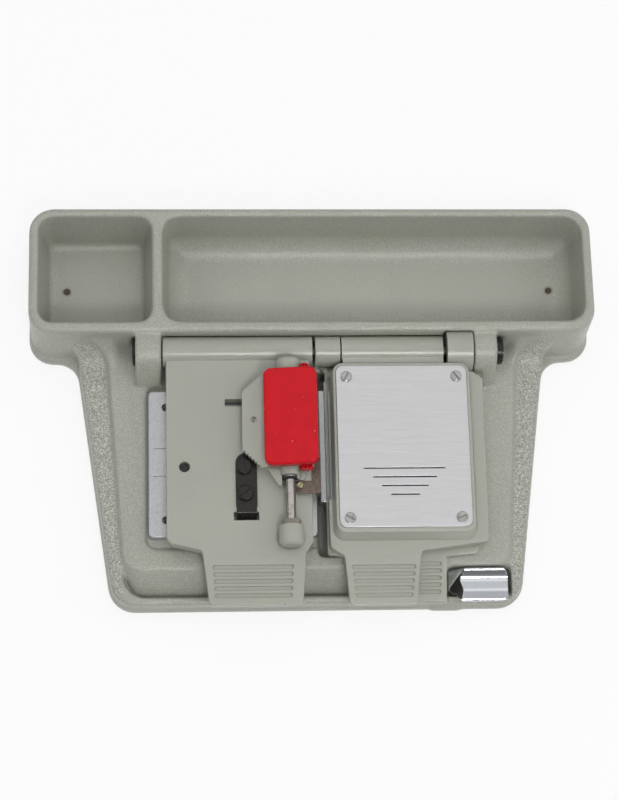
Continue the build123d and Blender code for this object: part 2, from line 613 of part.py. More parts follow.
# ---------------------------------------------------------------- lower arm
def lower_arm():
    left, right = ARM_X
    plan = [(left, 9.4), (9.0, 12.4), (46.5, 12.4), (right, 12.4), (right, ARM_FRONT_Y), (ARM_TAB_X[1], -54.9),
            (ARM_TAB_X[1] - 0.3, ARM_TAB_FRONT_Y), (ARM_TAB_X[0], ARM_TAB_FRONT_Y), (ARM_TAB_X[0], -54.9),
            (left, ARM_FRONT_Y)]
    radii = [0.8, 0, 0, 0, 1.5, 0.6, 1.2, 1.2, 0.6, 1.0]
    arm = lid_slab(plan, radii, ARM_TOP, ARM_UNDER, ARM_TAB_FRONT_Y, 12.0)
    arm += box((left, 7.4), (-38.0, 6.5), (11.4, ARM_UNDER + 0.5))

    # knuckles on the shaft, each with a web to the plate
    for x, radius in ((MIDDLE_KNUCKLE_X, BARREL_R), (RIGHT_KNUCKLE_X, KNUCKLE_R)):
        arm += rod(radius, x, HINGE_Y, HINGE_Z) + box(x, (9.4, HINGE_Y - 2.6), (ARM_UNDER, ARM_TOP))
    arm -= rod(SHAFT_R + FIT, (0, RIGHT_KNUCKLE_X[1] + 1), HINGE_Y, HINGE_Z)
    arm -= rod(BARREL_R + 0.5, (LID_BARREL_X[0] - 0.4, LID_BARREL_X[1] + 1.1), HINGE_Y, HINGE_Z)

    arm -= prism([(-1.0, 8.0), (3.9, 8.0), (3.9, 11.5), (1.6, 13.5), (-1.0, 13.5)], (10, 19))
    arm -= box(RIGHT_BED_X, RIGHT_BED_Y, (RIGHT_BED_UNDER, 20), 1.6)
    for x, y in RIGHT_BED_SCREWS:
        arm -= rod(0.7, x, y, (RIGHT_BED_UNDER - 1.0, 20))
    arm -= tab_grooves(ARM_TOP, (22.5, 42.5), -57.6, 0.2)
    for y in SHEAR_SCREW_Y:
        arm -= rod(0.9, (left - 1, left + 2.6), y, 13.6)
    return arm


def right_film_bed():
    bed = film_bed(RIGHT_BED_X, RIGHT_BED_Y, (RIGHT_BED_UNDER, RIGHT_BED_TOP))
    bed = screw_holes(bed, RIGHT_BED_SCREWS, RIGHT_BED_TOP)
    for y in PIN_Y:
        bed -= rod(0.5, RIGHT_PIN_X, y, (RIGHT_BED_TOP - 1.6, RIGHT_BED_TOP + 1))
    return bed


def right_film_pins():
    pins = Part()
    for y in PIN_Y:
        pin = rod(0.5, RIGHT_PIN_X, y, (RIGHT_BED_TOP - 1.6, RIGHT_BED_TOP + 0.5))
        pins += fillet(pin.edges().group_by(Axis.Z)[-1], 0.25)
    return pins


def shear_blade():
    """The steel cutter along the arm's left side, which passes the edge of the left bed."""
    blade = box(SHEAR_X, (-35.4, 4.7), (11.6, LEFT_BED_TOP))
    blade = chamfer(flat_edges(blade, LEFT_BED_TOP).sort_by(Axis.X)[0], 0.3)
    for y in SHEAR_SCREW_Y:
        blade -= rod(0.9, (0, 5), y, 13.6) + rod(1.6, (0, SHEAR_X[0] + 0.9), y, 13.6)
    return blade


def shear_blade_screws():
    """Screws with heads sunk flush in the shear blade."""
    screws = Part()
    for y in SHEAR_SCREW_Y:
        head = rod(1.6, (SHEAR_X[0] + 0.05, SHEAR_X[0] + 0.9), y, 13.6)
        head -= Pos(SHEAR_X[0], y, 13.6) * Box(0.8, 4, 0.4)
        screws += head + rod(0.9, (SHEAR_X[0] + 0.9, SHEAR_X[1] + 2.4), y, 13.6)
    return screws


# ---------------------------------------------------------------- upper lid
def upper_lid():
    plan = [(3.3, 7.6), (9.8, 13.0), (LID_BARREL_X[1], 13.0), (LID_BARREL_X[1], 10.3), (55.6, 10.3),
            (58.9, 7.6), (58.6, -50.9), (35.7, -53.9), (34.8, -56.3), (33.5, TAB_FRONT_Y),
            (10.3, TAB_FRONT_Y), (8.7, -55.6), (6.0, -53.9), (3.9, -52.3)]
    radii = [0.6, 0, 0, 0, 1.2, 1.2, 1.4, 1.0, 1.0, 1.8, 1.8, 1.0, 1.0, 1.0]
    lid = lid_slab(plan, radii, FLANGE_TOP, LID_FLANGE_UNDER, TAB_FRONT_Y, 13.0)

    # the raised boss for the plate, with leaning walls
    def outline(x, y, z, corner):
        plan_face = RectangleRounded(x[1] - x[0], y[1] - y[0], corner)
        return Pos((x[0] + x[1]) / 2, (y[0] + y[1]) / 2, z) * plan_face
    spread = 1.1
    foot = outline((BOSS_X[0] - spread, BOSS_X[1] + spread), (BOSS_Y[0] - 2.3, BOSS_Y[1]), FLANGE_TOP - 0.4, 4.2)
    boss = loft([foot, outline(BOSS_X, BOSS_Y, BOSS_TOP, 3.4)], ruled=True)
    lid += fillet(flat_edges(boss, BOSS_TOP), 0.5)
    neck = box((LID_BARREL_X[0] + 0.3, LID_BARREL_X[1]), (10.0, NECK_REAR_Y), (LID_FLANGE_UNDER, NECK_Z))
    lid += neck + rod(BARREL_R, LID_BARREL_X, HINGE_Y, HINGE_Z)

    lid -= box((9.4, 50.1), (FILM_Y - 11.2, FILM_Y + 11.2), (LID_FLANGE_UNDER - 1, LID_HOLLOW_TOP), 1.5)
    # the flange is cut back on the left, beside the scraper
    lid -= box((2.0, 5.3), (-36.0, 8.5), (LID_FLANGE_UNDER - 1, FLANGE_TOP + 1.4), 0.8)
    lid -= box((PLATE_X[0] - 0.1, PLATE_X[1] + 0.1), (PLATE_Y[0] - 0.1, PLATE_Y[1] + 0.1), (PLATE_Z, 30), 2.7)
    for x in PLATE_SCREW_X:
        for y in PLATE_SCREW_Y:
            lid -= rod(0.9, x, y, (PLATE_Z - 1.8, PLATE_Z + 1))
    lid -= tab_grooves(FLANGE_TOP, (11.1, 33.1), -59.5, 0.6)
    lid -= rod(KNUCKLE_R + 0.5, (LID_BARREL_X[1], RIGHT_KNUCKLE_X[1] + 0.6), HINGE_Y, HINGE_Z)
    lid -= rod(BARREL_R + 0.5, (0, MIDDLE_KNUCKLE_X[1] + 0.2), HINGE_Y, HINGE_Z)
    lid -= rod(SHAFT_R + FIT, (8, 47), HINGE_Y, HINGE_Z)
    return lid


def plate():
    """The bare brushed plate with four centred black rules cut as shallow lines."""
    width, depth = PLATE_X[1] - PLATE_X[0], PLATE_Y[1] - PLATE_Y[0]
    blank = box(PLATE_X, PLATE_Y, (PLATE_Z, PLATE_Z + PLATE_THICK), 2.6)
    blank = fillet(flat_edges(blank, PLATE_Z + PLATE_THICK), 0.2)
    for x in PLATE_SCREW_X:
        for y in PLATE_SCREW_Y:
            blank -= rod(0.9, x, y, (PLATE_Z - 1, PLATE_Z + 2))
    middle = PLATE_X[0] + width / 2
    for index, length in enumerate((28.2, 22.1, 16.1, 9.9)):
        y = PLATE_Y[0] + depth * 0.36 - index * 3.1
        blank -= Pos(middle, y, PLATE_Z + PLATE_THICK) * Box(length, 0.46, 0.2)
    return blank


def plate_screws():
    screws = Part()
    turns = iter((150, 62, 20, 128))
    for x in PLATE_SCREW_X:
        for y in PLATE_SCREW_Y:
            screws += slotted_screw(x, y, PLATE_Z + PLATE_THICK, 1.95, 0.75, 0.9, 2.6, next(turns), 0.45, 0.3)
    return screws


def pressure_leaf():
    """A bowed spring strip between the upper lid and its pad."""
    low, high = 19.0, LID_HOLLOW_TOP
    under = ThreePointArc((12.0, low), (29.75, high - 0.5), (47.5, low))
    upper = ThreePointArc((12.0, low + 0.5), (29.75, high), (47.5, low + 0.5))
    ends = [Line((12.0, low), (12.0, low + 0.5)), Line((47.5, low), (47.5, low + 0.5))]
    side = make_face([curve.edge() for curve in (under, upper, *ends)])
    return extrude(facing_front(FILM_Y + 4.0) * side, 8.0)


# ---------------------------------------------------------------- latch
def latch_lever():
    """The chrome thumb lever: a saddle over the front lip, with its hub in the bay behind the lip."""
    left, right = LATCH_X
    front, rear = LATCH_Y
    side = FilletPolyline((rear, 15.4), (rear - 3.3, 11.9), (front + 3.7, 13.2), (front, 12.3), (front, LATCH_UNDER),
                          (LATCH_HUB_FRONT_Y, LATCH_UNDER), (LATCH_HUB_FRONT_Y, 6.2), (rear, 6.2),
                          radius=[0.7, 2.4, 2.2, 0.7, 0.4, 0.4, 0.6, 0.6], close=True)
    body = extrude(across(left) * make_face(side), right - left)
    profile = FilletPolyline((left, 6.0), (left, 8.6), (left + 4.8, 13.0), (left + 6.2, 20.0), (right - 2.2, 20.0),
                             (right, 11.5), (right, 6.0), radius=[0, 0.8, 1.2, 0, 0, 1.6, 0], close=True)
    body &= extrude(facing_front(0) * make_face(profile), 90)
    plan = [(left, rear), (right - 2.0, rear), (right, rear - 3.0), (right, front), (left + 4.2, front),
            (left, front + 4.4)]
    body &= prism(plan, (0, 30), [0.8, 1.0, 1.0, 2.8, 2.0, 1.5])
    return body - rod(LATCH_PIN_R + FIT, LATCH_PIVOT[0], (-80, -50), LATCH_PIVOT[1])


def latch_pivot_pin():
    return rod(LATCH_PIN_R, LATCH_PIVOT[0], LATCH_PIN_Y, LATCH_PIVOT[1])


PIECES = {
    "base_casting": base_casting,
    "rubber_feet": rubber_feet,
    "foot_screws": foot_screws,
    "hinge_shaft": hinge_shaft,
    "hinge_screw_left": lambda: hinge_screw(SHAFT_X[0], -1),
    "hinge_screw_right": lambda: hinge_screw(SHAFT_X[1], 1),
    "left_film_bed": left_film_bed,
    "left_bed_screws": lambda: bed_screws(LEFT_BED_SCREWS, LEFT_BED_TOP, 4.2),
    "left_film_pins": lambda: film_pins(LEFT_PIN_X, LEFT_BED_TOP),
    "left_lid": left_lid,
    "film_leaf_spring": film_leaf_spring,
    "leaf_spring_screws": leaf_spring_screws,
    "left_pressure_pad": lambda: pressure_pad((-50.0, -3.5), (LEFT_BED_TOP + 0.2, LID_UNDER), LEFT_PIN_X),
    "pad_adjusting_screw": pad_adjusting_screw,
    "guide_rod": lambda: rod(ROD_R, ROD_X, ROD_ENDS_Y, ROD_Z),
    "stop_collar": stop_collar,
    "guide_bush": guide_bush,
    "bush_wiper_ring": bush_wiper_ring,
    "carriage_body": lambda: at_rest(carriage_body()),
    "carriage_adjusting_screw": lambda: at_rest(carriage_adjusting_screw()),
    "scraper_cover": lambda: at_rest(scraper_cover()),
    "scraper_blade": lambda: at_rest(scraper_blade()),
    "blade_screw": lambda: at_rest(blade_screw()),
    "scraper_spindle": lambda: at_rest(scraper_spindle()),
    "lower_arm": lower_arm,
    "right_film_bed": right_film_bed,
    "right_bed_screws": lambda: bed_screws(RIGHT_BED_SCREWS, RIGHT_BED_TOP, 1.2),
    "right_film_pins": right_film_pins,
    "shear_blade": shear_blade,
    "shear_blade_screws": shear_blade_screws,
    "upper_lid": upper_lid,
    "plate": plate,
    "plate_screws": plate_screws,
    "right_pressure_pad": lambda: pressure_pad((10.0, 49.5), (RIGHT_BED_TOP + 0.2, 19.0), RIGHT_PIN_X),
    "pressure_leaf": pressure_leaf,
    "latch_lever": latch_lever,
    "latch_pivot_pin": latch_pivot_pin,
}


def main():
    os.makedirs("parts", exist_ok=True)
    for node, make in PIECES.items():
        piece = Pos(0, FRAME_SHIFT_Y, 0) * make()
        export_step(piece, f"parts/{node}.step")
        box_size = piece.bounding_box().size
        print(f"{node}: {len(piece.solids())} solids, {box_size.X:.1f} x {box_size.Y:.1f} x {box_size.Z:.1f}")


if __name__ == "__main__":
    main()
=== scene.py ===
"""Looks for a table-top film splicer: paint, metals and plastic, the soft forms of its cast base, and the studio."""
import math
from typing import Callable, NamedTuple

import bmesh
import bpy
import numpy as np
from mathutils import Matrix, Vector


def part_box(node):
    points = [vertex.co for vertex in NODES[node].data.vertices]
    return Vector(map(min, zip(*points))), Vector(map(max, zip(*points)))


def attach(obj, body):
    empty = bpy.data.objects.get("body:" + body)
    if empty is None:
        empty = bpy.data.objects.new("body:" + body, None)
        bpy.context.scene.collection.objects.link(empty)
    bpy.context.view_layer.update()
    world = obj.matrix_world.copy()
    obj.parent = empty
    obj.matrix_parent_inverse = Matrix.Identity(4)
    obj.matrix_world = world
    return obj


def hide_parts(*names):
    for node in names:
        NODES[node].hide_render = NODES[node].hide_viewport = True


bl_info = {
    "name": "Film Splicer Finish",
    "version": (1, 0, 0),
    "blender": (4, 5, 0),
    "location": "3D View > Sidebar > Film Splicer",
    "description": "Paints, plates and lights a table-top film splicer on its solid frame",
    "category": "Object",
}

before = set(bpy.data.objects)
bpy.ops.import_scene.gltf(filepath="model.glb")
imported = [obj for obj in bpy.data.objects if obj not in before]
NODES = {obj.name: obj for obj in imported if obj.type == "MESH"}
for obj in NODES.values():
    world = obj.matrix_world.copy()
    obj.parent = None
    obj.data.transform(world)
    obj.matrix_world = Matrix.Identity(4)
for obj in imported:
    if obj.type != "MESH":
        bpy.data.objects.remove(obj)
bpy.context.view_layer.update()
MM = 0.001

# the casting, in millimetres from its own middle
MIDDLE_Y = 1.135           # where that middle lies in the frame
MIDDLE = np.array((0, MIDDLE_Y, 0))
RIM_Z, TRAY_FLOOR_Z, LEDGE_Z, DECK_Z = 28.0, 6.6, 12.4, 14.5
TRAY_WALL_Y = 23.4         # the tray's front wall at the rim
COMPARTMENT_LEAN = 0.1405  # how far a compartment's wall leans out per millimetre of height
COMPARTMENT_CORNER = 4.5   # radius of a compartment's corners in plan
LARGE_LOW, LARGE_HIGH = np.array((-52.9, 27.0)), np.array((96.3, 66.3))  # the large compartment's corners at the rim
LARGE_MIDDLE, LARGE_HALF = (LARGE_LOW + LARGE_HIGH) / 2, (LARGE_HIGH - LARGE_LOW) / 2
FOOT_SCREW_X, FOOT_SCREW_Y = 87.0, 45.6  # the rear foot screws, whose ends show in the tray's floor

# below the latch lever: spans of x, y and z, and the level at which the skin stays clear of the lever's travel
LATCH_X = (44.9, 66.8)
LATCH_FLOORS = (((-67.2, -58.0), (4.0, 5.8), 4.75),
                ((-75.0, -65.9), (9.0, 10.8), 9.45))


# ---------------------------------------------------------------- settings
class SplicerPaint(bpy.types.PropertyGroup):
    """The grey-green enamel on the castings"""
    tone: bpy.props.FloatVectorProperty(
        name="Enamel", description="Colour of the grey-green enamel", subtype="COLOR", size=3, min=0, max=1,
        default=(0.372, 0.381, 0.332))
    speckle: bpy.props.FloatProperty(
        name="Speckle", description="Strength of the fine light and dark flecks", subtype="FACTOR", min=0, max=1,
        default=0.5)
    grain: bpy.props.FloatProperty(
        name="Grain height", description="Height of the paint's fine grain", subtype="DISTANCE", unit="LENGTH",
        min=0, max=0.0005, precision=5, default=0.00005)
    # on the lids, edge wear also sets the strength of a painted highlight along every edge
    wear: bpy.props.FloatProperty(
        name="Edge wear", description="How much bare metal shows along the edges", subtype="FACTOR", min=0, max=1,
        default=0.5)
    cast_grain: bpy.props.FloatProperty(
        name="Sculpt size", description="Edge length of the softened casting's mesh", subtype="DISTANCE",
        unit="LENGTH", min=0.0003, max=0.002, precision=5, default=0.00055)
    cast_soft: bpy.props.IntProperty(
        name="Softening", description="How many times the casting's edges are softened", min=0, max=30, default=5)
    cove: bpy.props.FloatProperty(
        name="Floor cove", description="Radius between the large compartment's floor and walls", subtype="DISTANCE",
        unit="LENGTH", min=0.0026, max=0.015, precision=4, default=0.0075)


class SplicerMetal(bpy.types.PropertyGroup):
    """The metals"""
    plate: bpy.props.FloatVectorProperty(
        name="Plate", description="Colour of the brushed plate", subtype="COLOR", size=3, min=0, max=1,
        default=(0.75, 0.75, 0.76))
    steel: bpy.props.FloatVectorProperty(
        name="Steel", description="Colour of the bright steel pieces", subtype="COLOR", size=3, min=0, max=1,
        default=(0.60, 0.59, 0.58))
    blackened: bpy.props.FloatVectorProperty(
        name="Blackened steel", description="Colour of the blackened springs and screws", subtype="COLOR", size=3,
        min=0, max=1, default=(0.012, 0.011, 0.010))
    blade: bpy.props.FloatVectorProperty(
        name="Scraper blade", description="Colour of the browned scraper blade", subtype="COLOR", size=3,
        min=0, max=1, default=(0.20, 0.165, 0.135))
    chrome: bpy.props.FloatVectorProperty(
        name="Chrome", description="Colour of the latch lever's plating", subtype="COLOR", size=3, min=0, max=1,
        default=(0.83, 0.86, 0.90))


class SplicerPlastic(bpy.types.PropertyGroup):
    """Plastic and rubber"""
    red: bpy.props.FloatVectorProperty(
        name="Red", description="Colour of the scraper's cover and spindle", subtype="COLOR", size=3, min=0, max=1,
        default=(0.60, 0.005, 0.014))
    rubber: bpy.props.FloatVectorProperty(
        name="Rubber", description="Colour of the feet", subtype="COLOR", size=3, min=0, max=1,
        default=(0.018, 0.018, 0.019))


class SplicerStudio(bpy.types.PropertyGroup):
    """Floor, lamps and camera"""
    floor: bpy.props.FloatProperty(
        name="Floor", description="Width of the pale floor", subtype="DISTANCE", unit="LENGTH", min=1, max=20,
        default=6.0)
    top: bpy.props.FloatProperty(
        name="Top lamp", description="Power of the large soft lamp overhead", subtype="POWER", unit="POWER", min=0,
        max=100, default=4.5)
    key: bpy.props.FloatProperty(
        name="Key lamp", description="Power of the lamp above the front", subtype="POWER", unit="POWER", min=0,
        max=100, default=5.2)
    sides: bpy.props.FloatProperty(
        name="Side lamps", description="Power of the large soft lamps at both sides", subtype="POWER", unit="POWER",
        min=0, max=100, default=1.9)
    fill: bpy.props.FloatProperty(
        name="Fill lamp", description="Power of the lamp behind", subtype="POWER", unit="POWER", min=0, max=100,
        default=0.9)
    sky: bpy.props.FloatProperty(
        name="Room light", description="Strength of the even light from all round", min=0, max=2, default=0.40)
    ceiling: bpy.props.FloatProperty(
        name="Ceiling card", description="Brightness of the card that metal and gloss reflect", min=0, max=2,
        default=0.78)
    lens: bpy.props.FloatProperty(
        name="Lens", description="Focal length on a 36 mm sensor", subtype="DISTANCE_CAMERA", unit="CAMERA",
        min=20, max=300, default=99.0)


# ---------------------------------------------------------------- materials
class Wire:
    """What leaves a node. Numbers take plain arithmetic, which adds Math nodes."""

    def __init__(self, finish, socket):
        self.finish, self.socket = finish, socket

    def math(self, operation, *values):
        return self.finish.node("ShaderNodeMath", {"operation": operation}, dict(enumerate(values)))

    def __add__(self, other):
        return self.math("ADD", self, other)

    def __sub__(self, other):
        return self.math("SUBTRACT", self, other)

    def __rsub__(self, other):
        return self.math("SUBTRACT", other, self)

    def __mul__(self, other):
        return self.math("MULTIPLY", self, other)

    __radd__, __rmul__ = __add__, __mul__

    def __abs__(self):
        return self.math("ABSOLUTE", self)

    def largest(self, other):
        return self.math("MAXIMUM", self, other)


class Finish:
    """The nodes of one material or world in the making."""

    def __init__(self, owner):
        self.owner = owner
        owner.use_nodes = True
        self.tree = owner.node_tree
        self.tree.nodes.clear()
        self.at = self.node("ShaderNodeTexCoord", out="Object")

    def node(self, kind, settings=None, sockets=None, out=0):
        """A node of one kind: its settings first, then values or wires for its sockets."""
        made = self.tree.nodes.new(kind)
        for key, value in (settings or {}).items():
            if key == "stops":
                ramp = made.color_ramp
                while len(ramp.elements) < len(value):
                    ramp.elements.new(0.5)
                for element, (place, colour) in zip(ramp.elements, value):
                    element.position, element.color = place, (*colour, 1)
            else:
                setattr(made, key, value)
        for key, value in (sockets or {}).items():
            if isinstance(value, Wire):
                self.tree.links.new(value.socket, made.inputs[key])
            else:
                made.inputs[key].default_value = value
        return None if out is None else Wire(self, made.outputs[out])

    def blend(self, mask, first, second):
        """Two colours mixed by a mask."""
        first, second = (value if isinstance(value, Wire) else (*value, 1) for value in (first, second))
        return self.node("ShaderNodeMix", {"data_type": "RGBA"}, {0: mask, 6: first, 7: second}, out=2)

    def band(self, value, low, high, start=0.0, end=1.0):
        """A smooth step of a value from start to end."""
        return self.node("ShaderNodeMapRange", {"interpolation_type": "SMOOTHSTEP"},
                         {0: value, 1: low, 2: high, 3: start, 4: end})

    def part(self, vector, axis):
        """One of the three parts of a vector, by its letter."""
        return self.node("ShaderNodeSeparateXYZ", None, {0: vector}, out=axis)

    def length(self, first, second):
        """The distance between two places."""
        return self.node("ShaderNodeVectorMath", {"operation": "DISTANCE"}, {0: first, 1: second}, out="Value")

    def stretched(self, scale, shift=(0, 0, 0)):
        """The piece's own coordinates, scaled along each axis and then shifted."""
        return self.node("ShaderNodeMapping", {"vector_type": "POINT"},
                         {"Vector": self.at, "Location": shift, "Scale": scale})

    def noise(self, size, detail=2.0, rough=0.5, at=None):
        """Even noise whose features are about size metres across."""
        return self.node("ShaderNodeTexNoise", {"noise_dimensions": "3D"},
                         {"Vector": at or self.at, "Scale": 1 / size, "Detail": detail, "Roughness": rough})

    def painted_on(self, name):
        """A value that the piece's own mesh carries, such as how far an edge sticks out."""
        return self.node("ShaderNodeAttribute", {"attribute_type": "GEOMETRY", "attribute_name": name}, out="Fac")

    def flecks(self, size, share, radius):
        """Round flecks in a share of the cells, which are about size metres across; radius is in cells."""
        cells = {"Vector": self.at, "Scale": 1 / size, "Randomness": 1.0}
        distance = self.node("ShaderNodeTexVoronoi", {"feature": "F1"}, cells)
        chance = self.node("ShaderNodeSeparateColor", None, {
            0: self.node("ShaderNodeTexVoronoi", {"feature": "F1"}, cells, out="Color")})
        return self.band(distance, radius, radius * 0.6) * self.band(chance, 1 - share, 1 - share + 0.01)

    def rounded(self, radius):
        """The surface direction with edges rounded by radius, for the light."""
        return self.node("ShaderNodeBevel", {"samples": 6}, {"Radius": radius})

    def edges(self, radius):
        """1 along convex edges within radius, 0 elsewhere."""
        here = self.node("ShaderNodeNewGeometry", out="Normal")
        agree = self.node("ShaderNodeVectorMath", {"operation": "DOT_PRODUCT"},
                          {0: self.rounded(radius), 1: here}, out="Value")
        return self.band(1 - agree, 0.03, 0.22) * self.band(self.corners(radius * 1.5), 0.35, 0.1)

    def corners(self, reach):
        """1 deep in concave corners, 0 on open surfaces."""
        return 1 - self.node("ShaderNodeAmbientOcclusion", {"samples": 4, "only_local": True}, {"Distance": reach},
                             out="AO")

    def bump(self, height, distance, strength, base):
        """The surface direction base with a relief on it."""
        return self.node("ShaderNodeBump", None,
                         {"Height": height, "Distance": distance, "Strength": strength, "Normal": base})

    def cover(self, colour, rough, normal, metal=0.0, **plain):
        """Ends the material in one principled surface; plain values go on its own sockets."""
        sockets = {"Base Color": colour, "Roughness": rough, "Metallic": metal, "Normal": normal}
        sockets.update({key.replace("_", " "): value for key, value in plain.items()})
        return self.end(self.node("ShaderNodeBsdfPrincipled", None, sockets))

    def end(self, surface, kind="Material"):
        """Shows a surface as the material or the world."""
        self.node("ShaderNodeOutput" + kind, None, {"Surface": surface}, out=None)
        return self.owner


def new_finish(name):
    """An empty node material."""
    return Finish(bpy.data.materials.new(name))


def shade(colour, factor):
    """A colour made lighter or darker."""
    return tuple(min(channel * factor, 1.0) for channel in colour)


class Coat(NamedTuple):
    """How the enamel lies on one kind of surface, with sizes in millimetres."""
    rough: float        # roughness
    rough_play: float   # how far the roughness strays from that
    speckle: float      # share of the speckle setting
    grit: float         # size of the coarse grain
    fine: float         # size of the fine grain
    relief: float       # share of the grain height setting
    corner_shade_reach: float   # how far the painted shade reaches out of the corners
    corner_shade: float         # strength of that painted shade
    specks: float       # share of cells with a dark speck
    rounding: float     # radius of the edges for the light


SANDY = Coat(rough=0.36, rough_play=0.04, speckle=1.0, grit=0.55, fine=0.30, relief=1.0, corner_shade_reach=2.0, corner_shade=0.45,
             specks=0.14, rounding=0.4)
SMOOTH = Coat(rough=0.26, rough_play=0.008, speckle=0.14, grit=0.9, fine=0.42, relief=0.3, corner_shade_reach=1.2, corner_shade=0.6,
              specks=0.05, rounding=0.16)

# colours of age and dirt, of bare metal under the paint, of painted shade in corners, hollows, gaps, holes and
# crevices, and of a painted highlight on edges
CORNER_SHADE, HOLLOW_SHADE, GAP_SHADE = (0.10, 0.095, 0.078), (0.12, 0.12, 0.095), (0.012, 0.011, 0.008)
SPECK, RUST, RUST_RING = (0.045, 0.038, 0.028), (0.21, 0.17, 0.11), (0.05, 0.035, 0.02)
PRIMER_AND_HIGHLIGHT = (0.66, 0.66, 0.61)
HOLE_SHADE, CREVICE_SHADE = (0.012, 0.011, 0.010), (0.02, 0.018, 0.016)
TARNISH, DARK_RUST, RUBBED = (0.20, 0.165, 0.13), (0.11, 0.06, 0.035), (0.42, 0.41, 0.40)


def enamel(name, paint, coat):
    """Grey-green enamel: cast surfaces are sandy and speckled, lids smooth; edges wear to light chips. Painted shade
    darkens the corners, hollows and gaps, and on the lids a painted highlight runs along every edge.
    """
    f = new_finish(name)
    cast = coat is SANDY
    tone = tuple(paint.tone)
    speckle = paint.speckle * coat.speckle
    mottle = f.noise(2.2 * MM, 3, 0.6)
    grit = f.noise(coat.grit * MM, 2, 0.65)
    fine = f.noise(coat.fine * MM, 1)
    cloud = f.noise(38 * MM, 3)
    patch = f.noise(24 * MM, 3, 0.6, f.stretched((1, 1, 1), (0.2, 0.1, 0)))
    colour = f.blend(f.band(cloud, 0.35, 0.65), shade(tone, 0.97), shade(tone, 1.02))
    colour = f.blend(f.band(patch, 0.55, 0.75) * 0.5, colour, (tone[0] * 1.03, tone[1], tone[2] * 0.88))
    colour = f.blend(f.band(mottle, 0.3, 0.7) * (0.22 * speckle), colour, shade(tone, 0.72))
    light = f.band(fine, 0.54, 0.68) * (0.9 * speckle)
    dark = f.band(fine, 0.46, 0.32) * (1.0 * speckle)
    if cast:
        ledge = f.painted_on("ledge")
        flake = f.noise(0.42 * MM, 1, 0.5, f.stretched((1, 1, 1), (0.03, 0.05, 0)))
        light = light + ledge * f.band(flake, 0.58, 0.66) * 0.8
        dark = dark + ledge * f.band(flake, 0.52, 0.40) * 0.75
    colour = f.blend(dark, colour, shade(tone, 0.55))
    colour = f.blend(light, colour, shade(tone, 1.7))
    # painted shade in the concave corners, in a dirt brown
    colour = f.blend(f.band(f.corners(coat.corner_shade_reach * MM), 0.25, 0.8) * coat.corner_shade, colour, CORNER_SHADE)
    # painted shade deep in the casting's compartments and hollows
    if cast:
        colour = f.blend(f.band(f.corners(22 * MM), 0.25, 0.85) * 0.40, colour, HOLLOW_SHADE)
    # painted shade, near black, in narrow gaps and slots
    colour = f.blend(f.band(f.corners(3.2 * MM), 0.60, 0.76) * 0.93, colour, GAP_SHADE)
    specks = f.flecks(6 * MM, coat.specks, 0.05)
    colour = f.blend(specks * 0.8, colour, SPECK)
    chips = f.band(f.noise(0.6 * MM, 2, 0.7), 0.60, 0.70)
    if cast:
        edge = f.painted_on("edge")
        pale_edges = f.band(edge, 0.3, 0.8) * chips * paint.wear
        colour = f.blend(f.band(edge, 0.2, 1.0) * 0.12, colour, shade(tone, 0.75))
        for x in (-FOOT_SCREW_X, FOOT_SCREW_X):
            away = f.length(f.at, (x * MM, (FOOT_SCREW_Y + MIDDLE_Y) * MM, (TRAY_FLOOR_Z - 0.4) * MM))
            rust = f.band(away, 2.6 * MM, 1.2 * MM) * (f.band(mottle, 0.3, 0.7) * 0.4 + 0.15)
            colour = f.blend(rust, colour, RUST)
            ring = f.band(away, 1.45 * MM, 1.25 * MM) * f.band(away, 0.75 * MM, 0.95 * MM)
            colour = f.blend(ring * 0.85, colour, RUST_RING)
    else:
        # on the lids: a painted highlight along every edge, with chips of wear in it
        pale_edges = f.edges(0.35 * MM) * (chips * 0.6 + 0.4) * paint.wear
    colour = f.blend(pale_edges, colour, PRIMER_AND_HIGHLIGHT)
    normal = f.bump(grit * 0.6 + fine * 0.4, paint.grain * coat.relief, 1.0, f.rounded(coat.rounding * MM))
    sheen = f.band(mottle, 0.2, 0.8, coat.rough - coat.rough_play, coat.rough + coat.rough_play)
    return f.cover(colour, sheen + specks * 0.2, normal)


def turned_steel(name, tone, rough, grain=(1, 1, 1), tarnish=0.25):
    """Bright steel with fine tool marks, a little tarnish and painted shade in its tight corners."""
    f = new_finish(name)
    marks = f.noise(0.25 * MM, 3, 0.6, f.stretched(grain))
    stain = f.noise(3.2 * MM, 4, 0.6)
    colour = f.blend(f.band(stain, 0.45, 0.75) * tarnish, tone, TARNISH)
    # painted shade, near black, in the tight corners
    colour = f.blend(f.band(f.corners(0.7 * MM), 0.2, 0.7) * 0.9, colour, CREVICE_SHADE)
    normal = f.bump(marks, 0.012 * MM, 0.6, f.rounded(0.12 * MM))
    return f.cover(colour, f.band(stain, 0.3, 0.8, rough, rough + 0.18), normal, 1.0)


def ground_steel(name, tone):
    """Surface-ground steel of the film beds: pale, faintly mottled, with painted shade in its holes and a painted
    highlight along its rubbed edges.
    """
    f = new_finish(name)
    marks = f.noise(0.12 * MM, 2, 0.6, f.stretched((0.12, 1, 1)))
    pits = f.noise(0.55 * MM, 3, 0.7)
    colour = f.blend(f.band(pits, 0.42, 0.7) * 0.55, tone, shade(tone, 0.72))
    colour = f.blend(f.flecks(2.6 * MM, 0.14, 0.07) * 0.7, colour, shade(tone, 0.35))
    # painted shade, near black, in the holes
    colour = f.blend(f.band(f.corners(0.9 * MM), 0.3, 0.7) * 0.95, colour, HOLE_SHADE)
    # a painted highlight along every convex edge
    bright = f.edges(0.35 * MM)
    colour = f.blend(bright, colour, (0.92, 0.92, 0.93))
    normal = f.bump(marks * 0.6 + pits * 0.4, 0.02 * MM, 0.7, f.rounded(0.25 * MM))
    return f.cover(colour, f.band(pits, 0.3, 0.8, 0.36, 0.50) - bright * 0.2, normal, 1.0)


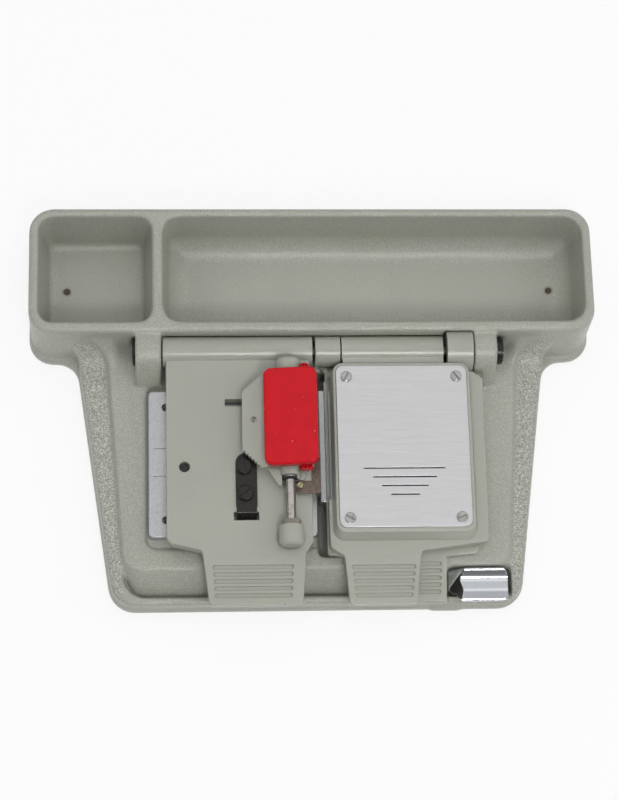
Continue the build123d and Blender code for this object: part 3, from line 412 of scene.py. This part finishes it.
def blackened_steel(name, tone):
    """Oil-blacked steel with tiny rust-brown pits and slots rubbed to bare metal."""
    f = new_finish(name)
    pits = f.noise(0.35 * MM, 3, 0.7)
    colour = f.blend(f.band(pits, 0.58, 0.70) * 0.8, tone, DARK_RUST)
    rubbed = f.edges(0.22 * MM) * f.band(f.noise(0.8 * MM, 2), 0.4, 0.6)
    colour = f.blend(rubbed, colour, RUBBED)
    normal = f.bump(pits, 0.02 * MM, 0.7, f.rounded(0.15 * MM))
    return f.cover(colour, f.band(pits, 0.3, 0.7, 0.16, 0.34), normal, rubbed, Specular_IOR_Level=0.4)


def browned_steel(name, tone):
    """The scraper blade: browned steel with reddish and bright flecks."""
    f = new_finish(name)
    bloom = f.noise(1.1 * MM, 4, 0.7)
    colour = f.blend(f.band(bloom, 0.4, 0.7) * 0.7, tone, (0.115, 0.07, 0.045))
    colour = f.blend(f.band(f.noise(0.3 * MM, 2, 0.6), 0.60, 0.7) * 0.5, colour, (0.36, 0.33, 0.30))
    normal = f.bump(bloom, 0.02 * MM, 0.6, f.rounded(0.1 * MM))
    return f.cover(colour, f.band(bloom, 0.3, 0.8, 0.38, 0.58), normal, 0.75)


def brass(name):
    """Dull brass, browner in patches."""
    f = new_finish(name)
    dull = f.noise(0.8 * MM, 3, 0.6)
    colour = f.blend(f.band(dull, 0.4, 0.7), (0.50, 0.43, 0.30), (0.30, 0.26, 0.19))
    return f.cover(colour, f.band(dull, 0.3, 0.8, 0.22, 0.4), f.bump(dull, 0.02 * MM, 0.5, f.rounded(0.12 * MM)), 1.0)


def near_border(f, node, reach):
    """1 within reach of a node's outline in plan."""
    low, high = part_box(node)
    along_x, along_y = (abs(f.part(f.at, letter) - (low[axis] + high[axis]) / 2) - (high[axis] - low[axis]) / 2
                        for axis, letter in enumerate("XY"))
    return f.band(along_x.largest(along_y), -reach, -reach * 0.7)


def brushed_plate(name, tone):
    """Brushed aluminium: hair lines across, black fill in the cut rules, a painted highlight on its bevelled rim."""
    f = new_finish(name)
    hair = f.noise(0.16 * MM, 3, 0.7, f.stretched((0.02, 1, 1)))
    wide = f.noise(1.3 * MM, 2, 0.5, f.stretched((0.05, 1, 1)))
    colour = f.blend(f.band(hair, 0.35, 0.7) * 0.5, tone, shade(tone, 0.80))
    colour = f.blend(f.band(wide, 0.4, 0.7) * 0.25, colour, shade(tone, 0.85))
    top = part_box("plate")[1].z
    height = f.part(f.at, "Z")
    facing_up = f.part(f.node("ShaderNodeNewGeometry", out="True Normal"), "Z")
    cut = f.band(height, top - 0.03 * MM, top - 0.07 * MM) * f.band(height, top - 0.5 * MM, top - 0.3 * MM)
    cut = cut * f.band(facing_up, 0.9, 0.99)
    # a painted highlight along the plate's bevelled rim
    rim = f.edges(0.35 * MM) * near_border(f, "plate", 1.0 * MM)
    colour = f.blend(rim, colour, (0.97, 0.97, 0.98))
    colour = f.blend(cut, colour, (0.012, 0.012, 0.013))
    colour = f.blend(f.flecks(7 * MM, 0.12, 0.035) * 0.7, colour, (0.12, 0.11, 0.10))
    normal = f.bump(hair, 0.012 * MM, 0.8, f.rounded(0.25 * MM))
    return f.cover(colour, f.band(hair, 0.3, 0.8, 0.34, 0.44) + cut * 0.4 - rim * 0.12, normal, 1 - cut,
                   Specular_IOR_Level=0.3)


def chrome(name, tone):
    """Bright plating with the faintest haze and a few pin marks."""
    f = new_finish(name)
    haze = f.noise(4 * MM, 4, 0.6)
    pin = f.flecks(2.2 * MM, 0.08, 0.05)
    colour = f.blend(f.band(haze, 0.4, 0.8) * 0.2, tone, shade(tone, 0.86))
    colour = f.blend(pin * 0.6, colour, (0.2, 0.19, 0.18))
    normal = f.bump(f.noise(2.5 * MM, 2), 0.02 * MM, 0.3, f.rounded(0.5 * MM))
    return f.cover(colour, f.band(haze, 0.3, 0.8, 0.05, 0.10) + pin * 0.2, normal, 1.0)


def red_plastic(name, tone):
    """Glossy moulded plastic with dust flecks, soft waves, sides painted darker as shade, and rubbed edges."""
    f = new_finish(name)
    cloud = f.noise(6 * MM, 3)
    colour = f.blend(f.band(cloud, 0.35, 0.7), tone, shade(tone, 0.93))
    dust = f.flecks(1.3 * MM, 0.14, 0.13) * f.band(f.noise(5 * MM, 2), 0.40, 0.55)
    colour = f.blend(dust * 0.9, colour, (0.90, 0.72, 0.68))
    facing_up = f.part(f.node("ShaderNodeTexCoord", out="Normal"), "Z")
    # painted shade: faces that turn away from the top are darker
    colour = f.blend(f.band(facing_up, 0.6, 0.1) * 0.45, colour, shade(tone, 0.42))
    scuff = f.edges(0.5 * MM) * f.band(f.noise(1.2 * MM, 3, 0.6), 0.5, 0.7)
    colour = f.blend(scuff * 0.45, colour, (0.80, 0.30, 0.28))
    wave = f.noise(7 * MM, 1)
    normal = f.bump(wave * 0.7 + f.noise(0.4 * MM, 2) * 0.02, 0.05 * MM, 0.5, f.rounded(0.15 * MM))
    return f.cover(colour, f.band(cloud, 0.3, 0.8, 0.16, 0.24) + dust * 0.3 + scuff * 0.2, normal,
                   Specular_IOR_Level=0.2)


def rubber(name, tone, dusty=0.35):
    """Matt rubber, greyer where dust lies on it."""
    f = new_finish(name)
    grit = f.noise(0.3 * MM, 3, 0.6)
    dust = f.noise(2.5 * MM, 4, 0.6)
    colour = f.blend(f.band(dust, 0.45, 0.75) * dusty, tone, shade(tone, 2.6))
    return f.cover(colour, f.band(dust, 0.3, 0.8, 0.62, 0.85), f.bump(grit, 0.03 * MM, 0.6, f.rounded(0.3 * MM)))


def dress(material, *names):
    """Gives CAD nodes a finish of this file."""
    for name in names:
        data = NODES[name].data
        data.materials.clear()
        data.materials.append(material)


# ---------------------------------------------------------------- the sculpted casting
WAIST_Y = -9.0             # where the half widths of ledge and deck are known; both grow evenly towards the tray


def ledge_side(y):
    """Half width of the ledge round the deck, at y."""
    return 78.7 + 0.14 * (y - WAIST_Y)


def deck_side(y):
    """Half width of the deck, at y."""
    return 70.45 + 0.075 * (y - WAIST_Y)


def swept(along, radius, wall):
    """How far a quarter round of this radius has risen at a place before the wall that it meets."""
    into = np.clip(along - (wall - radius), 0, radius * 0.9999)
    return radius - np.sqrt(radius ** 2 - into ** 2)


class Shelf(NamedTuple):
    """A flat part of the casting that sweeps up the tray's front wall and spreads along it, in millimetres."""
    level: float
    side: Callable    # its half width at y
    inner: tuple      # where it starts at the left and at the right
    rise: float       # radius of its sweep up the wall
    flare: tuple      # radius of its spread along the wall, and the wall's y
    edge: float       # rounding of its outer edge


LEDGE = Shelf(LEDGE_Z, ledge_side, inner=(68.0, 68.0), rise=11.5, flare=(5.6, 22.9), edge=1.3)
DECK = Shelf(DECK_Z, deck_side, inner=(64.9, 67.2), rise=12.0, flare=(8.0, 22.9), edge=1.0)
SHELF_Y, SHELF_BOTTOM_Z = (3.0, 23.2), 7.5
SHELF_ROWS, SHELF_COLUMNS = 60, 14
SHELF_SINK = 0.03          # how far a shelf lies below the casting's own faces, so that these win
SWEEP_FADE = 6.0           # how far from its inner limit a shelf reaches its full sweep
EDGE_STEPS = np.array([0, 0.02, 0.06, 0.15, 0.3, 0.5, 0.75, 1.0])  # points across a rounded edge, as shares of it


def add_shelf(form, hand, shelf):
    """Adds one shelf as a closed solid, at the left (-1) or at the right (1)."""
    level, side, inner, rise, flare, edge = shelf
    grid = []
    for y in np.linspace(*SHELF_Y, SHELF_ROWS):
        reach = side(y) + swept(y, *flare)
        start = inner[0 if hand < 0 else 1]
        across = np.concatenate((reach - edge * EDGE_STEPS, np.linspace(reach - edge, start, SHELF_COLUMNS)[1:]))
        fade = np.clip((across - start) / SWEEP_FADE, 0, 1)
        top = (level - SHELF_SINK + swept(y, rise, TRAY_WALL_Y) * fade ** 2 * (3 - 2 * fade)
               - edge + np.sqrt(edge ** 2 - np.clip(edge - (reach - across), 0, edge) ** 2))
        grid.append([[form.verts.new((hand * x * MM, (y + MIDDLE_Y) * MM, height * MM))
                      for height in (z, SHELF_BOTTOM_Z)] for x, z in zip(across, top)])
    faces = []
    for front, rear in zip(grid, grid[1:]):
        for (a, a_low), (b, b_low), (c, c_low), (d, d_low) in zip(front, front[1:], rear[1:], rear):
            faces += [form.faces.new((a, b, c, d)), form.faces.new((d_low, c_low, b_low, a_low))]
        for column in (0, -1):
            (a, a_low), (b, b_low) = front[column], rear[column]
            faces.append(form.faces.new((a, a_low, b_low, b)))
    for row in (grid[0], grid[-1]):
        for (a, a_low), (b, b_low) in zip(row, row[1:]):
            faces.append(form.faces.new((a, b, b_low, a_low)))
    bmesh.ops.recalc_face_normals(form, faces=faces)


def solid_casting():
    """The base casting with its shelves added, as one object whose solids still overlap."""
    form = bmesh.new()
    form.from_mesh(NODES["base_casting"].data)
    bmesh.ops.remove_doubles(form, verts=form.verts, dist=0.002 * MM)
    for hand in (-1, 1):
        for shelf in (LEDGE, DECK):
            add_shelf(form, hand, shelf)
    mesh = bpy.data.meshes.new("rough_casting")
    form.to_mesh(mesh)
    form.free()
    cast = bpy.data.objects.new("sculpted_casting", mesh)
    bpy.context.scene.collection.objects.link(cast)
    return cast


class Skin:
    """A mesh as arrays: its points, in millimetres from the casting's middle, and which of them are neighbours."""

    def __init__(self, mesh):
        self.mesh, self.count = mesh, len(mesh.vertices)
        self.place = self.read("co") / MM - MIDDLE
        ends = np.empty(len(mesh.edges) * 2, dtype=np.int64)
        mesh.edges.foreach_get("vertices", ends)
        self.first, self.second = ends.reshape(-1, 2).T
        self.links = (np.bincount(self.first, minlength=self.count)
                      + np.bincount(self.second, minlength=self.count))

    def read(self, name):
        """One vector for each point."""
        values = np.empty(self.count * 3)
        self.mesh.vertices.foreach_get(name, values)
        return values.reshape(-1, 3)

    def averaged(self, values):
        """The mean of each point's neighbours, column by column."""
        return np.stack([(np.bincount(self.first, column[self.second], self.count)
                          + np.bincount(self.second, column[self.first], self.count)) / self.links
                         for column in values.T], axis=1)

    def write_places(self):
        """Moves the mesh's own points to where they lie here."""
        self.mesh.vertices.foreach_set("co", ((self.place + MIDDLE) * MM).ravel())
        self.mesh.update()

    def write_value(self, name, values):
        """Keeps one value for each point, for the paint."""
        layer = self.mesh.attributes.new(name, "FLOAT", "POINT")
        layer.data.foreach_set("value", values.astype(np.float32))


def within(values, span):
    """Which values lie between the two ends of a span."""
    return (values > span[0]) & (values < span[1])


def compartment_depth(place):
    """How far each point lies inside the large compartment's walls, in millimetres."""
    drop = RIM_Z - place[:, 2]
    room = LARGE_HALF - (drop * COMPARTMENT_LEAN)[:, None] - COMPARTMENT_CORNER
    past = np.abs(place[:, :2] - LARGE_MIDDLE) - room
    outside = np.linalg.norm(np.clip(past, 0, None), axis=1) + np.clip(past.max(axis=1), None, 0)
    return COMPARTMENT_CORNER - outside


SKIN_PLAY = 0.4            # how far the skin may lie off the wall and floor that it stands for
TURN_WIDTH = 4.0           # how wide the strip is in which the cove turns a corner


def coved(place, radius):
    """The points, with a quarter round between the large compartment's floor and its walls."""
    depth, height = compartment_depth(place), place[:, 2] - TRAY_FLOOR_Z
    reach = np.hypot(radius - depth, radius - height)
    inside = within(depth, (-SKIN_PLAY, radius)) & within(height, (-SKIN_PLAY, radius)) & (reach > radius)
    inside &= (place[:, :2] > LARGE_LOW - SKIN_PLAY / 2).all(axis=1)
    shift = np.where(inside, (reach - radius) / np.maximum(reach, 0.001), 0)

    # points move away from the nearer wall, and turn gradually at the corners
    past = np.abs(place[:, :2] - LARGE_MIDDLE) - LARGE_HALF
    share = np.clip(0.5 + (past[:, 0] - past[:, 1]) / TURN_WIDTH, 0, 1)
    sideways = np.stack((share, 1 - share), axis=1)
    sideways /= np.linalg.norm(sideways, axis=1)[:, None]
    moved = place.copy()
    moved[:, :2] += np.sign(LARGE_MIDDLE - place[:, :2]) * sideways * ((radius - depth) * shift)[:, None]
    moved[:, 2] += (radius - height) * shift
    return np.where(inside[:, None], moved, place)


def clear_latch(place):
    """Lowers the points that softening has brought into the latch lever's travel."""
    beside = within(place[:, 0], LATCH_X)
    for span, heights, level in LATCH_FLOORS:
        floor = beside & within(place[:, 1], span) & within(place[:, 2], heights)
        place[floor, 2] = np.minimum(place[floor, 2], level)


BROAD_STEPS = 8            # how many times the form is averaged before its edges are measured against it
PROUD_EDGE = 0.16          # how far the sharpest edges then stick out


def mark_for_paint(skin):
    """Keeps how far each edge sticks out, and where the coarse ledge is."""
    normal = skin.read("normal")
    broad = skin.place
    for _ in range(BROAD_STEPS):
        broad = skin.averaged(broad)
    proud = np.einsum("ij,ij->i", skin.place - broad, normal)
    skin.write_value("edge", np.clip(proud / PROUD_EDGE, 0, 1))

    # the ledge, with its sweep up to just below the rim, where it faces up
    x, y, z = np.abs(skin.place[:, 0]), skin.place[:, 1], skin.place[:, 2]
    ledge = (x > deck_side(y) + swept(y, *DECK.flare) + 0.4) & (x < ledge_side(y) + 0.2 + swept(y, *LEDGE.flare))
    ledge &= (normal[:, 2] > 0.35) & (y < TRAY_WALL_Y + 0.1) & within(z, (LEDGE_Z - 1.0, RIM_Z - 2.0))
    skin.write_value("ledge", skin.averaged(ledge[:, None] * 1.0)[:, 0])


def sculpted_casting(paint, material):
    """The base casting with its softened edges, swept shelves and coved floor, as one skin."""
    cast = solid_casting()
    wrap = cast.modifiers.new("skin", "REMESH")
    wrap.mode, wrap.voxel_size = "VOXEL", paint.cast_grain
    mesh = bpy.data.meshes.new_from_object(cast.evaluated_get(bpy.context.evaluated_depsgraph_get()))
    cast.modifiers.clear()
    cast.data = mesh

    skin = Skin(mesh)
    skin.place = coved(skin.place, paint.cove / MM)
    for _ in range(paint.cast_soft):
        skin.place = skin.place * 0.4 + skin.averaged(skin.place) * 0.6
    clear_latch(skin.place)
    low, high = (np.array(corner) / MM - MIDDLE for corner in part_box("base_casting"))
    skin.place = np.clip(skin.place, low, high)
    skin.write_places()
    mark_for_paint(skin)
    mesh.shade_smooth()
    mesh.materials.clear()
    mesh.materials.append(material)
    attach(cast, "base")
    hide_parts("base_casting")


# ---------------------------------------------------------------- pieces
class SPLICER_OT_castings(bpy.types.Operator):
    """Sculpt and paint the base, and paint the two lids, the lower arm and the scraper block"""
    bl_idname = "splicer.castings"
    bl_label = "Castings"

    def execute(self, context):
        paint = context.scene.splicer_paint
        cast = enamel("cast_enamel", paint, SANDY)
        dress(cast, "base_casting")
        sculpted_casting(paint, cast)
        dress(enamel("lid_enamel", paint, SMOOTH), "left_lid", "lower_arm", "upper_lid", "carriage_body")
        return {"FINISHED"}


class SPLICER_OT_scraper(bpy.types.Operator):
    """Finish the red cover, the spindle, the blade and the small screws of the scraper"""
    bl_idname = "splicer.scraper"
    bl_label = "Scraper"

    def execute(self, context):
        metal = context.scene.splicer_metal
        plastic = context.scene.splicer_plastic
        dress(red_plastic("red_plastic", tuple(plastic.red)), "scraper_cover", "scraper_spindle")
        dress(browned_steel("browned_blade", tuple(metal.blade)), "scraper_blade")
        dress(brass("blade_screw_brass"), "blade_screw")
        dress(turned_steel("carriage_screw_steel", (0.34, 0.32, 0.30), 0.22), "carriage_adjusting_screw")
        return {"FINISHED"}


class SPLICER_OT_rod(bpy.types.Operator):
    """Finish the guide rod, its bush, wiper ring and stop collar"""
    bl_idname = "splicer.rod"
    bl_label = "Guide rod"

    def execute(self, context):
        plastic = context.scene.splicer_plastic
        lengthwise = (1, 0.03, 1)
        dress(turned_steel("rod_steel", (0.56, 0.52, 0.50), 0.12, lengthwise, 0.5), "guide_rod")
        dress(turned_steel("bush_steel", (0.36, 0.335, 0.32), 0.18, lengthwise, 0.5), "guide_bush")
        dress(rubber("wiper_rubber", tuple(plastic.rubber)), "bush_wiper_ring")
        dress(rubber("collar_rubber", (0.22, 0.20, 0.165), 0.2), "stop_collar")
        return {"FINISHED"}


class SPLICER_OT_beds(bpy.types.Operator):
    """Finish the film beds, pads, shear blade and pressure leaf"""
    bl_idname = "splicer.beds"
    bl_label = "Film beds"

    def execute(self, context):
        dress(ground_steel("bed_steel", (0.58, 0.59, 0.605)), "left_film_bed", "right_film_bed", "shear_blade",
              "right_pressure_pad", "pressure_leaf")
        # the left pad is painted near black, for the shade it lies in under the lid
        dress(rubber("pad_shade_black", (0.004, 0.004, 0.004), 0.2), "left_pressure_pad")
        return {"FINISHED"}


class SPLICER_OT_plate(bpy.types.Operator):
    """Finish the bare plate and its four screws"""
    bl_idname = "splicer.plate"
    bl_label = "Plate"

    def execute(self, context):
        metal = context.scene.splicer_metal
        dress(brushed_plate("brushed_plate", tuple(metal.plate)), "plate")
        dress(turned_steel("plate_screw_steel", (0.52, 0.51, 0.50), 0.22, tarnish=0.55), "plate_screws")
        return {"FINISHED"}


class SPLICER_OT_latch(bpy.types.Operator):
    """Plate the latch lever and finish its pin"""
    bl_idname = "splicer.latch"
    bl_label = "Latch lever"

    def execute(self, context):
        metal = context.scene.splicer_metal
        dress(chrome("chrome", tuple(metal.chrome)), "latch_lever")
        dress(turned_steel("latch_pin_steel", tuple(metal.steel), 0.3), "latch_pivot_pin")
        return {"FINISHED"}


class SPLICER_OT_fasteners(bpy.types.Operator):
    """Finish the springs, screws, pins, shaft and feet"""
    bl_idname = "splicer.fasteners"
    bl_label = "Fasteners and feet"

    def execute(self, context):
        metal = context.scene.splicer_metal
        plastic = context.scene.splicer_plastic
        dress(blackened_steel("blackened_steel", tuple(metal.blackened)), "film_leaf_spring", "leaf_spring_screws",
              "hinge_screw_left", "hinge_screw_right")
        dress(turned_steel("screw_steel", tuple(metal.steel), 0.28), "left_film_pins", "right_film_pins",
              "shear_blade_screws")
        dress(turned_steel("dark_screw_steel", (0.085, 0.08, 0.078), 0.2), "left_bed_screws", "right_bed_screws")
        dress(turned_steel("oiled_steel", (0.10, 0.09, 0.08), 0.4, tarnish=0.6), "foot_screws", "hinge_shaft")
        dress(blackened_steel("adjuster_steel", (0.03, 0.028, 0.026)), "pad_adjusting_screw")
        dress(rubber("foot_rubber", tuple(plastic.rubber)), "rubber_feet")
        return {"FINISHED"}


# ---------------------------------------------------------------- studio
WHITE, PAPER = (1, 1, 1, 1), (0.84, 0.84, 0.84, 1)
UPRIGHT = math.radians(90)

# how bright each card is from its start to its end; the ceiling's are shares of its setting
CEILING_STOPS = ((0, 0.45), (0.28, 0.5), (0.36, 0.6), (0.44, 1.0), (0.62, 1.1), (0.85, 0.6), (1, 0.35))
FRONT_STOPS = ((0, 0.10), (0.1, 0.16), (0.4, 0.22), (0.7, 0.32), (1, 0.35))
REAR_STOPS = ((0, 0.30), (0.3, 0.14), (0.6, 0.2), (1, 0.22))
SIDE_STOPS = ((0, 0.25), (0.4, 0.10), (0.8, 0.2), (1, 0.3))

# the camera's place and two of its axes, which match the picture's view of the tray's corners and the hinge
CAMERA_PLACE = (-0.05234, -0.22111, 0.75281)
CAMERA_RIGHT, CAMERA_UP = Vector((0.99783, -0.02454, 0.06102)), Vector((0.00572, 0.95663, 0.29127))


def lamp(name, size, place, power, glints=False):
    """A soft rectangular lamp turned to the splicer; only a lamp that glints shows in gloss and metal."""
    light = bpy.data.lights.new(name, "AREA")
    light.shape, light.size, light.size_y, light.energy = "RECTANGLE", *size, power
    rig = bpy.data.objects.new(name, light)
    rig.location = place
    rig.rotation_euler = (-Vector(place)).to_track_quat("-Z", "Y").to_euler()
    rig.visible_glossy = glints
    bpy.context.scene.collection.objects.link(rig)


def square(name, segments, half):
    """A flat square object in the scene."""
    form = bmesh.new()
    bmesh.ops.create_grid(form, x_segments=segments, y_segments=segments, size=half)
    mesh = bpy.data.meshes.new(name)
    form.to_mesh(mesh)
    form.free()
    flat = bpy.data.objects.new(name, mesh)
    bpy.context.scene.collection.objects.link(flat)
    return flat


def card(name, size, place, turn, stops):
    """A large card that only gloss and metal reflect, shaded along its length by its stops."""
    board = square(name, 4, 0.5)
    board.location, board.rotation_euler, board.scale = place, turn, (*size, 1)
    board.visible_camera = board.visible_diffuse = board.visible_shadow = board.visible_transmission = False
    f = new_finish(name)
    level = f.node("ShaderNodeValToRGB", {"stops": [(at, (value,) * 3) for at, value in stops]},
                   {0: f.part(f.at, "Y") + 0.5})
    board.data.materials.append(f.end(f.node("ShaderNodeEmission", None, {"Color": level})))


def white_where_seen(f):
    """1 where the camera, gloss or glass looks, and 0 for all other light."""
    seen = [f.node("ShaderNodeLightPath", out=way)
            for way in ("Is Camera Ray", "Is Glossy Ray", "Is Transmission Ray")]
    return seen[0].largest(seen[1]).largest(seen[2])


def build_floor(studio):
    """The pale floor, almost white where it is seen, so that it keeps a faint shadow."""
    floor = square("floor", 8, studio.floor / 2)
    f = new_finish("pale_floor")
    paper = f.node("ShaderNodeBsdfDiffuse", None, {"Color": PAPER})
    glow = f.node("ShaderNodeEmission", None, {"Strength": 1.0})
    shown = f.node("ShaderNodeMixShader", None, {0: white_where_seen(f) * 0.86, 1: paper, 2: glow})
    floor.data.materials.append(f.end(shown))


def build_world(studio):
    """Even light from all round, seen as plain white."""
    world = bpy.data.worlds.new("studio")
    bpy.context.scene.world = world
    f = Finish(world)
    even = f.node("ShaderNodeBackground", None, {"Color": WHITE, "Strength": studio.sky})
    white = f.node("ShaderNodeBackground", None, {"Color": WHITE, "Strength": 1.0})
    f.end(f.node("ShaderNodeMixShader", None, {0: white_where_seen(f), 1: even, 2: white}), "World")


def set_camera(studio):
    """The camera, at the angle from which the splicer was pictured."""
    camera = bpy.data.cameras.new("camera")
    camera.lens, camera.sensor_width, camera.sensor_fit = studio.lens, 36, "AUTO"
    camera.clip_start, camera.clip_end = 0.05, 20
    rig = bpy.data.objects.new("camera", camera)
    axes = Matrix((CAMERA_RIGHT, CAMERA_UP, CAMERA_RIGHT.cross(CAMERA_UP).normalized())).transposed()
    rig.matrix_world = Matrix.Translation(CAMERA_PLACE) @ axes.to_4x4()
    bpy.context.scene.collection.objects.link(rig)
    bpy.context.scene.camera = rig


class SPLICER_OT_studio(bpy.types.Operator):
    """Lay the pale floor, hang the soft lamps and set the camera"""
    bl_idname = "splicer.studio"
    bl_label = "Studio"

    def execute(self, context):
        studio = context.scene.splicer_studio
        context.scene.view_settings.view_transform = "Standard"
        build_floor(studio)
        build_world(studio)
        lamp("top", (1.3, 1.1), (0.05, 0.12, 1.6), studio.top)
        lamp("key", (0.36, 0.28), (0.14, -0.70, 1.18), studio.key, glints=True)
        lamp("fill", (0.9, 0.5), (-0.10, 0.85, 0.95), studio.fill)
        lamp("left", (0.8, 0.8), (-1.05, 0.05, 0.85), studio.sides * 0.65)
        lamp("right", (0.8, 0.8), (1.05, 0.05, 0.85), studio.sides * 1.5)
        card("ceiling", (7, 5), (0, 0.2, 1.7), (0, 0, 0),
             [(at, share * studio.ceiling) for at, share in CEILING_STOPS])
        card("front_flag", (5, 1.8), (0, -2.2, 0.9), (UPRIGHT, 0, 0), FRONT_STOPS)
        card("rear_flag", (5, 1.7), (0, 2.7, 0.86), (UPRIGHT, 0, 0), REAR_STOPS)
        card("left_flag", (5, 1.7), (-3.3, 0.2, 0.86), (UPRIGHT, 0, UPRIGHT), SIDE_STOPS)
        card("right_flag", (5, 1.7), (3.3, 0.2, 0.86), (UPRIGHT, 0, UPRIGHT), SIDE_STOPS)
        set_camera(studio)
        return {"FINISHED"}


# every step, in the order in which main() runs them
STEPS = (SPLICER_OT_castings, SPLICER_OT_scraper, SPLICER_OT_rod, SPLICER_OT_beds, SPLICER_OT_plate,
         SPLICER_OT_latch, SPLICER_OT_fasteners, SPLICER_OT_studio)
GROUPS = {"splicer_paint": SplicerPaint, "splicer_metal": SplicerMetal, "splicer_plastic": SplicerPlastic,
          "splicer_studio": SplicerStudio}


class SPLICER_PT_sidebar(bpy.types.Panel):
    """Every setting and every step of the finish, in order"""
    bl_idname = "SPLICER_PT_sidebar"
    bl_label = "Film Splicer"
    bl_space_type = "VIEW_3D"
    bl_region_type = "UI"
    bl_category = "Film Splicer"

    def draw(self, context):
        for group in GROUPS:
            settings = getattr(context.scene, group)
            for name in settings.bl_rna.properties.keys():
                if name not in ("rna_type", "name"):
                    self.layout.prop(settings, name)
        for step in STEPS:
            self.layout.operator(step.bl_idname)


CLASSES = (*GROUPS.values(), *STEPS, SPLICER_PT_sidebar)


def register():
    for kind in CLASSES:
        bpy.utils.register_class(kind)
    for name, group in GROUPS.items():
        setattr(bpy.types.Scene, name, bpy.props.PointerProperty(type=group))


def unregister():
    for name in GROUPS:
        delattr(bpy.types.Scene, name)
    for kind in reversed(CLASSES):
        bpy.utils.unregister_class(kind)


def main():
    register()
    for step in STEPS:
        family, name = step.bl_idname.split(".")
        getattr(getattr(bpy.ops, family), name)()


if __name__ == "__main__":
    main()
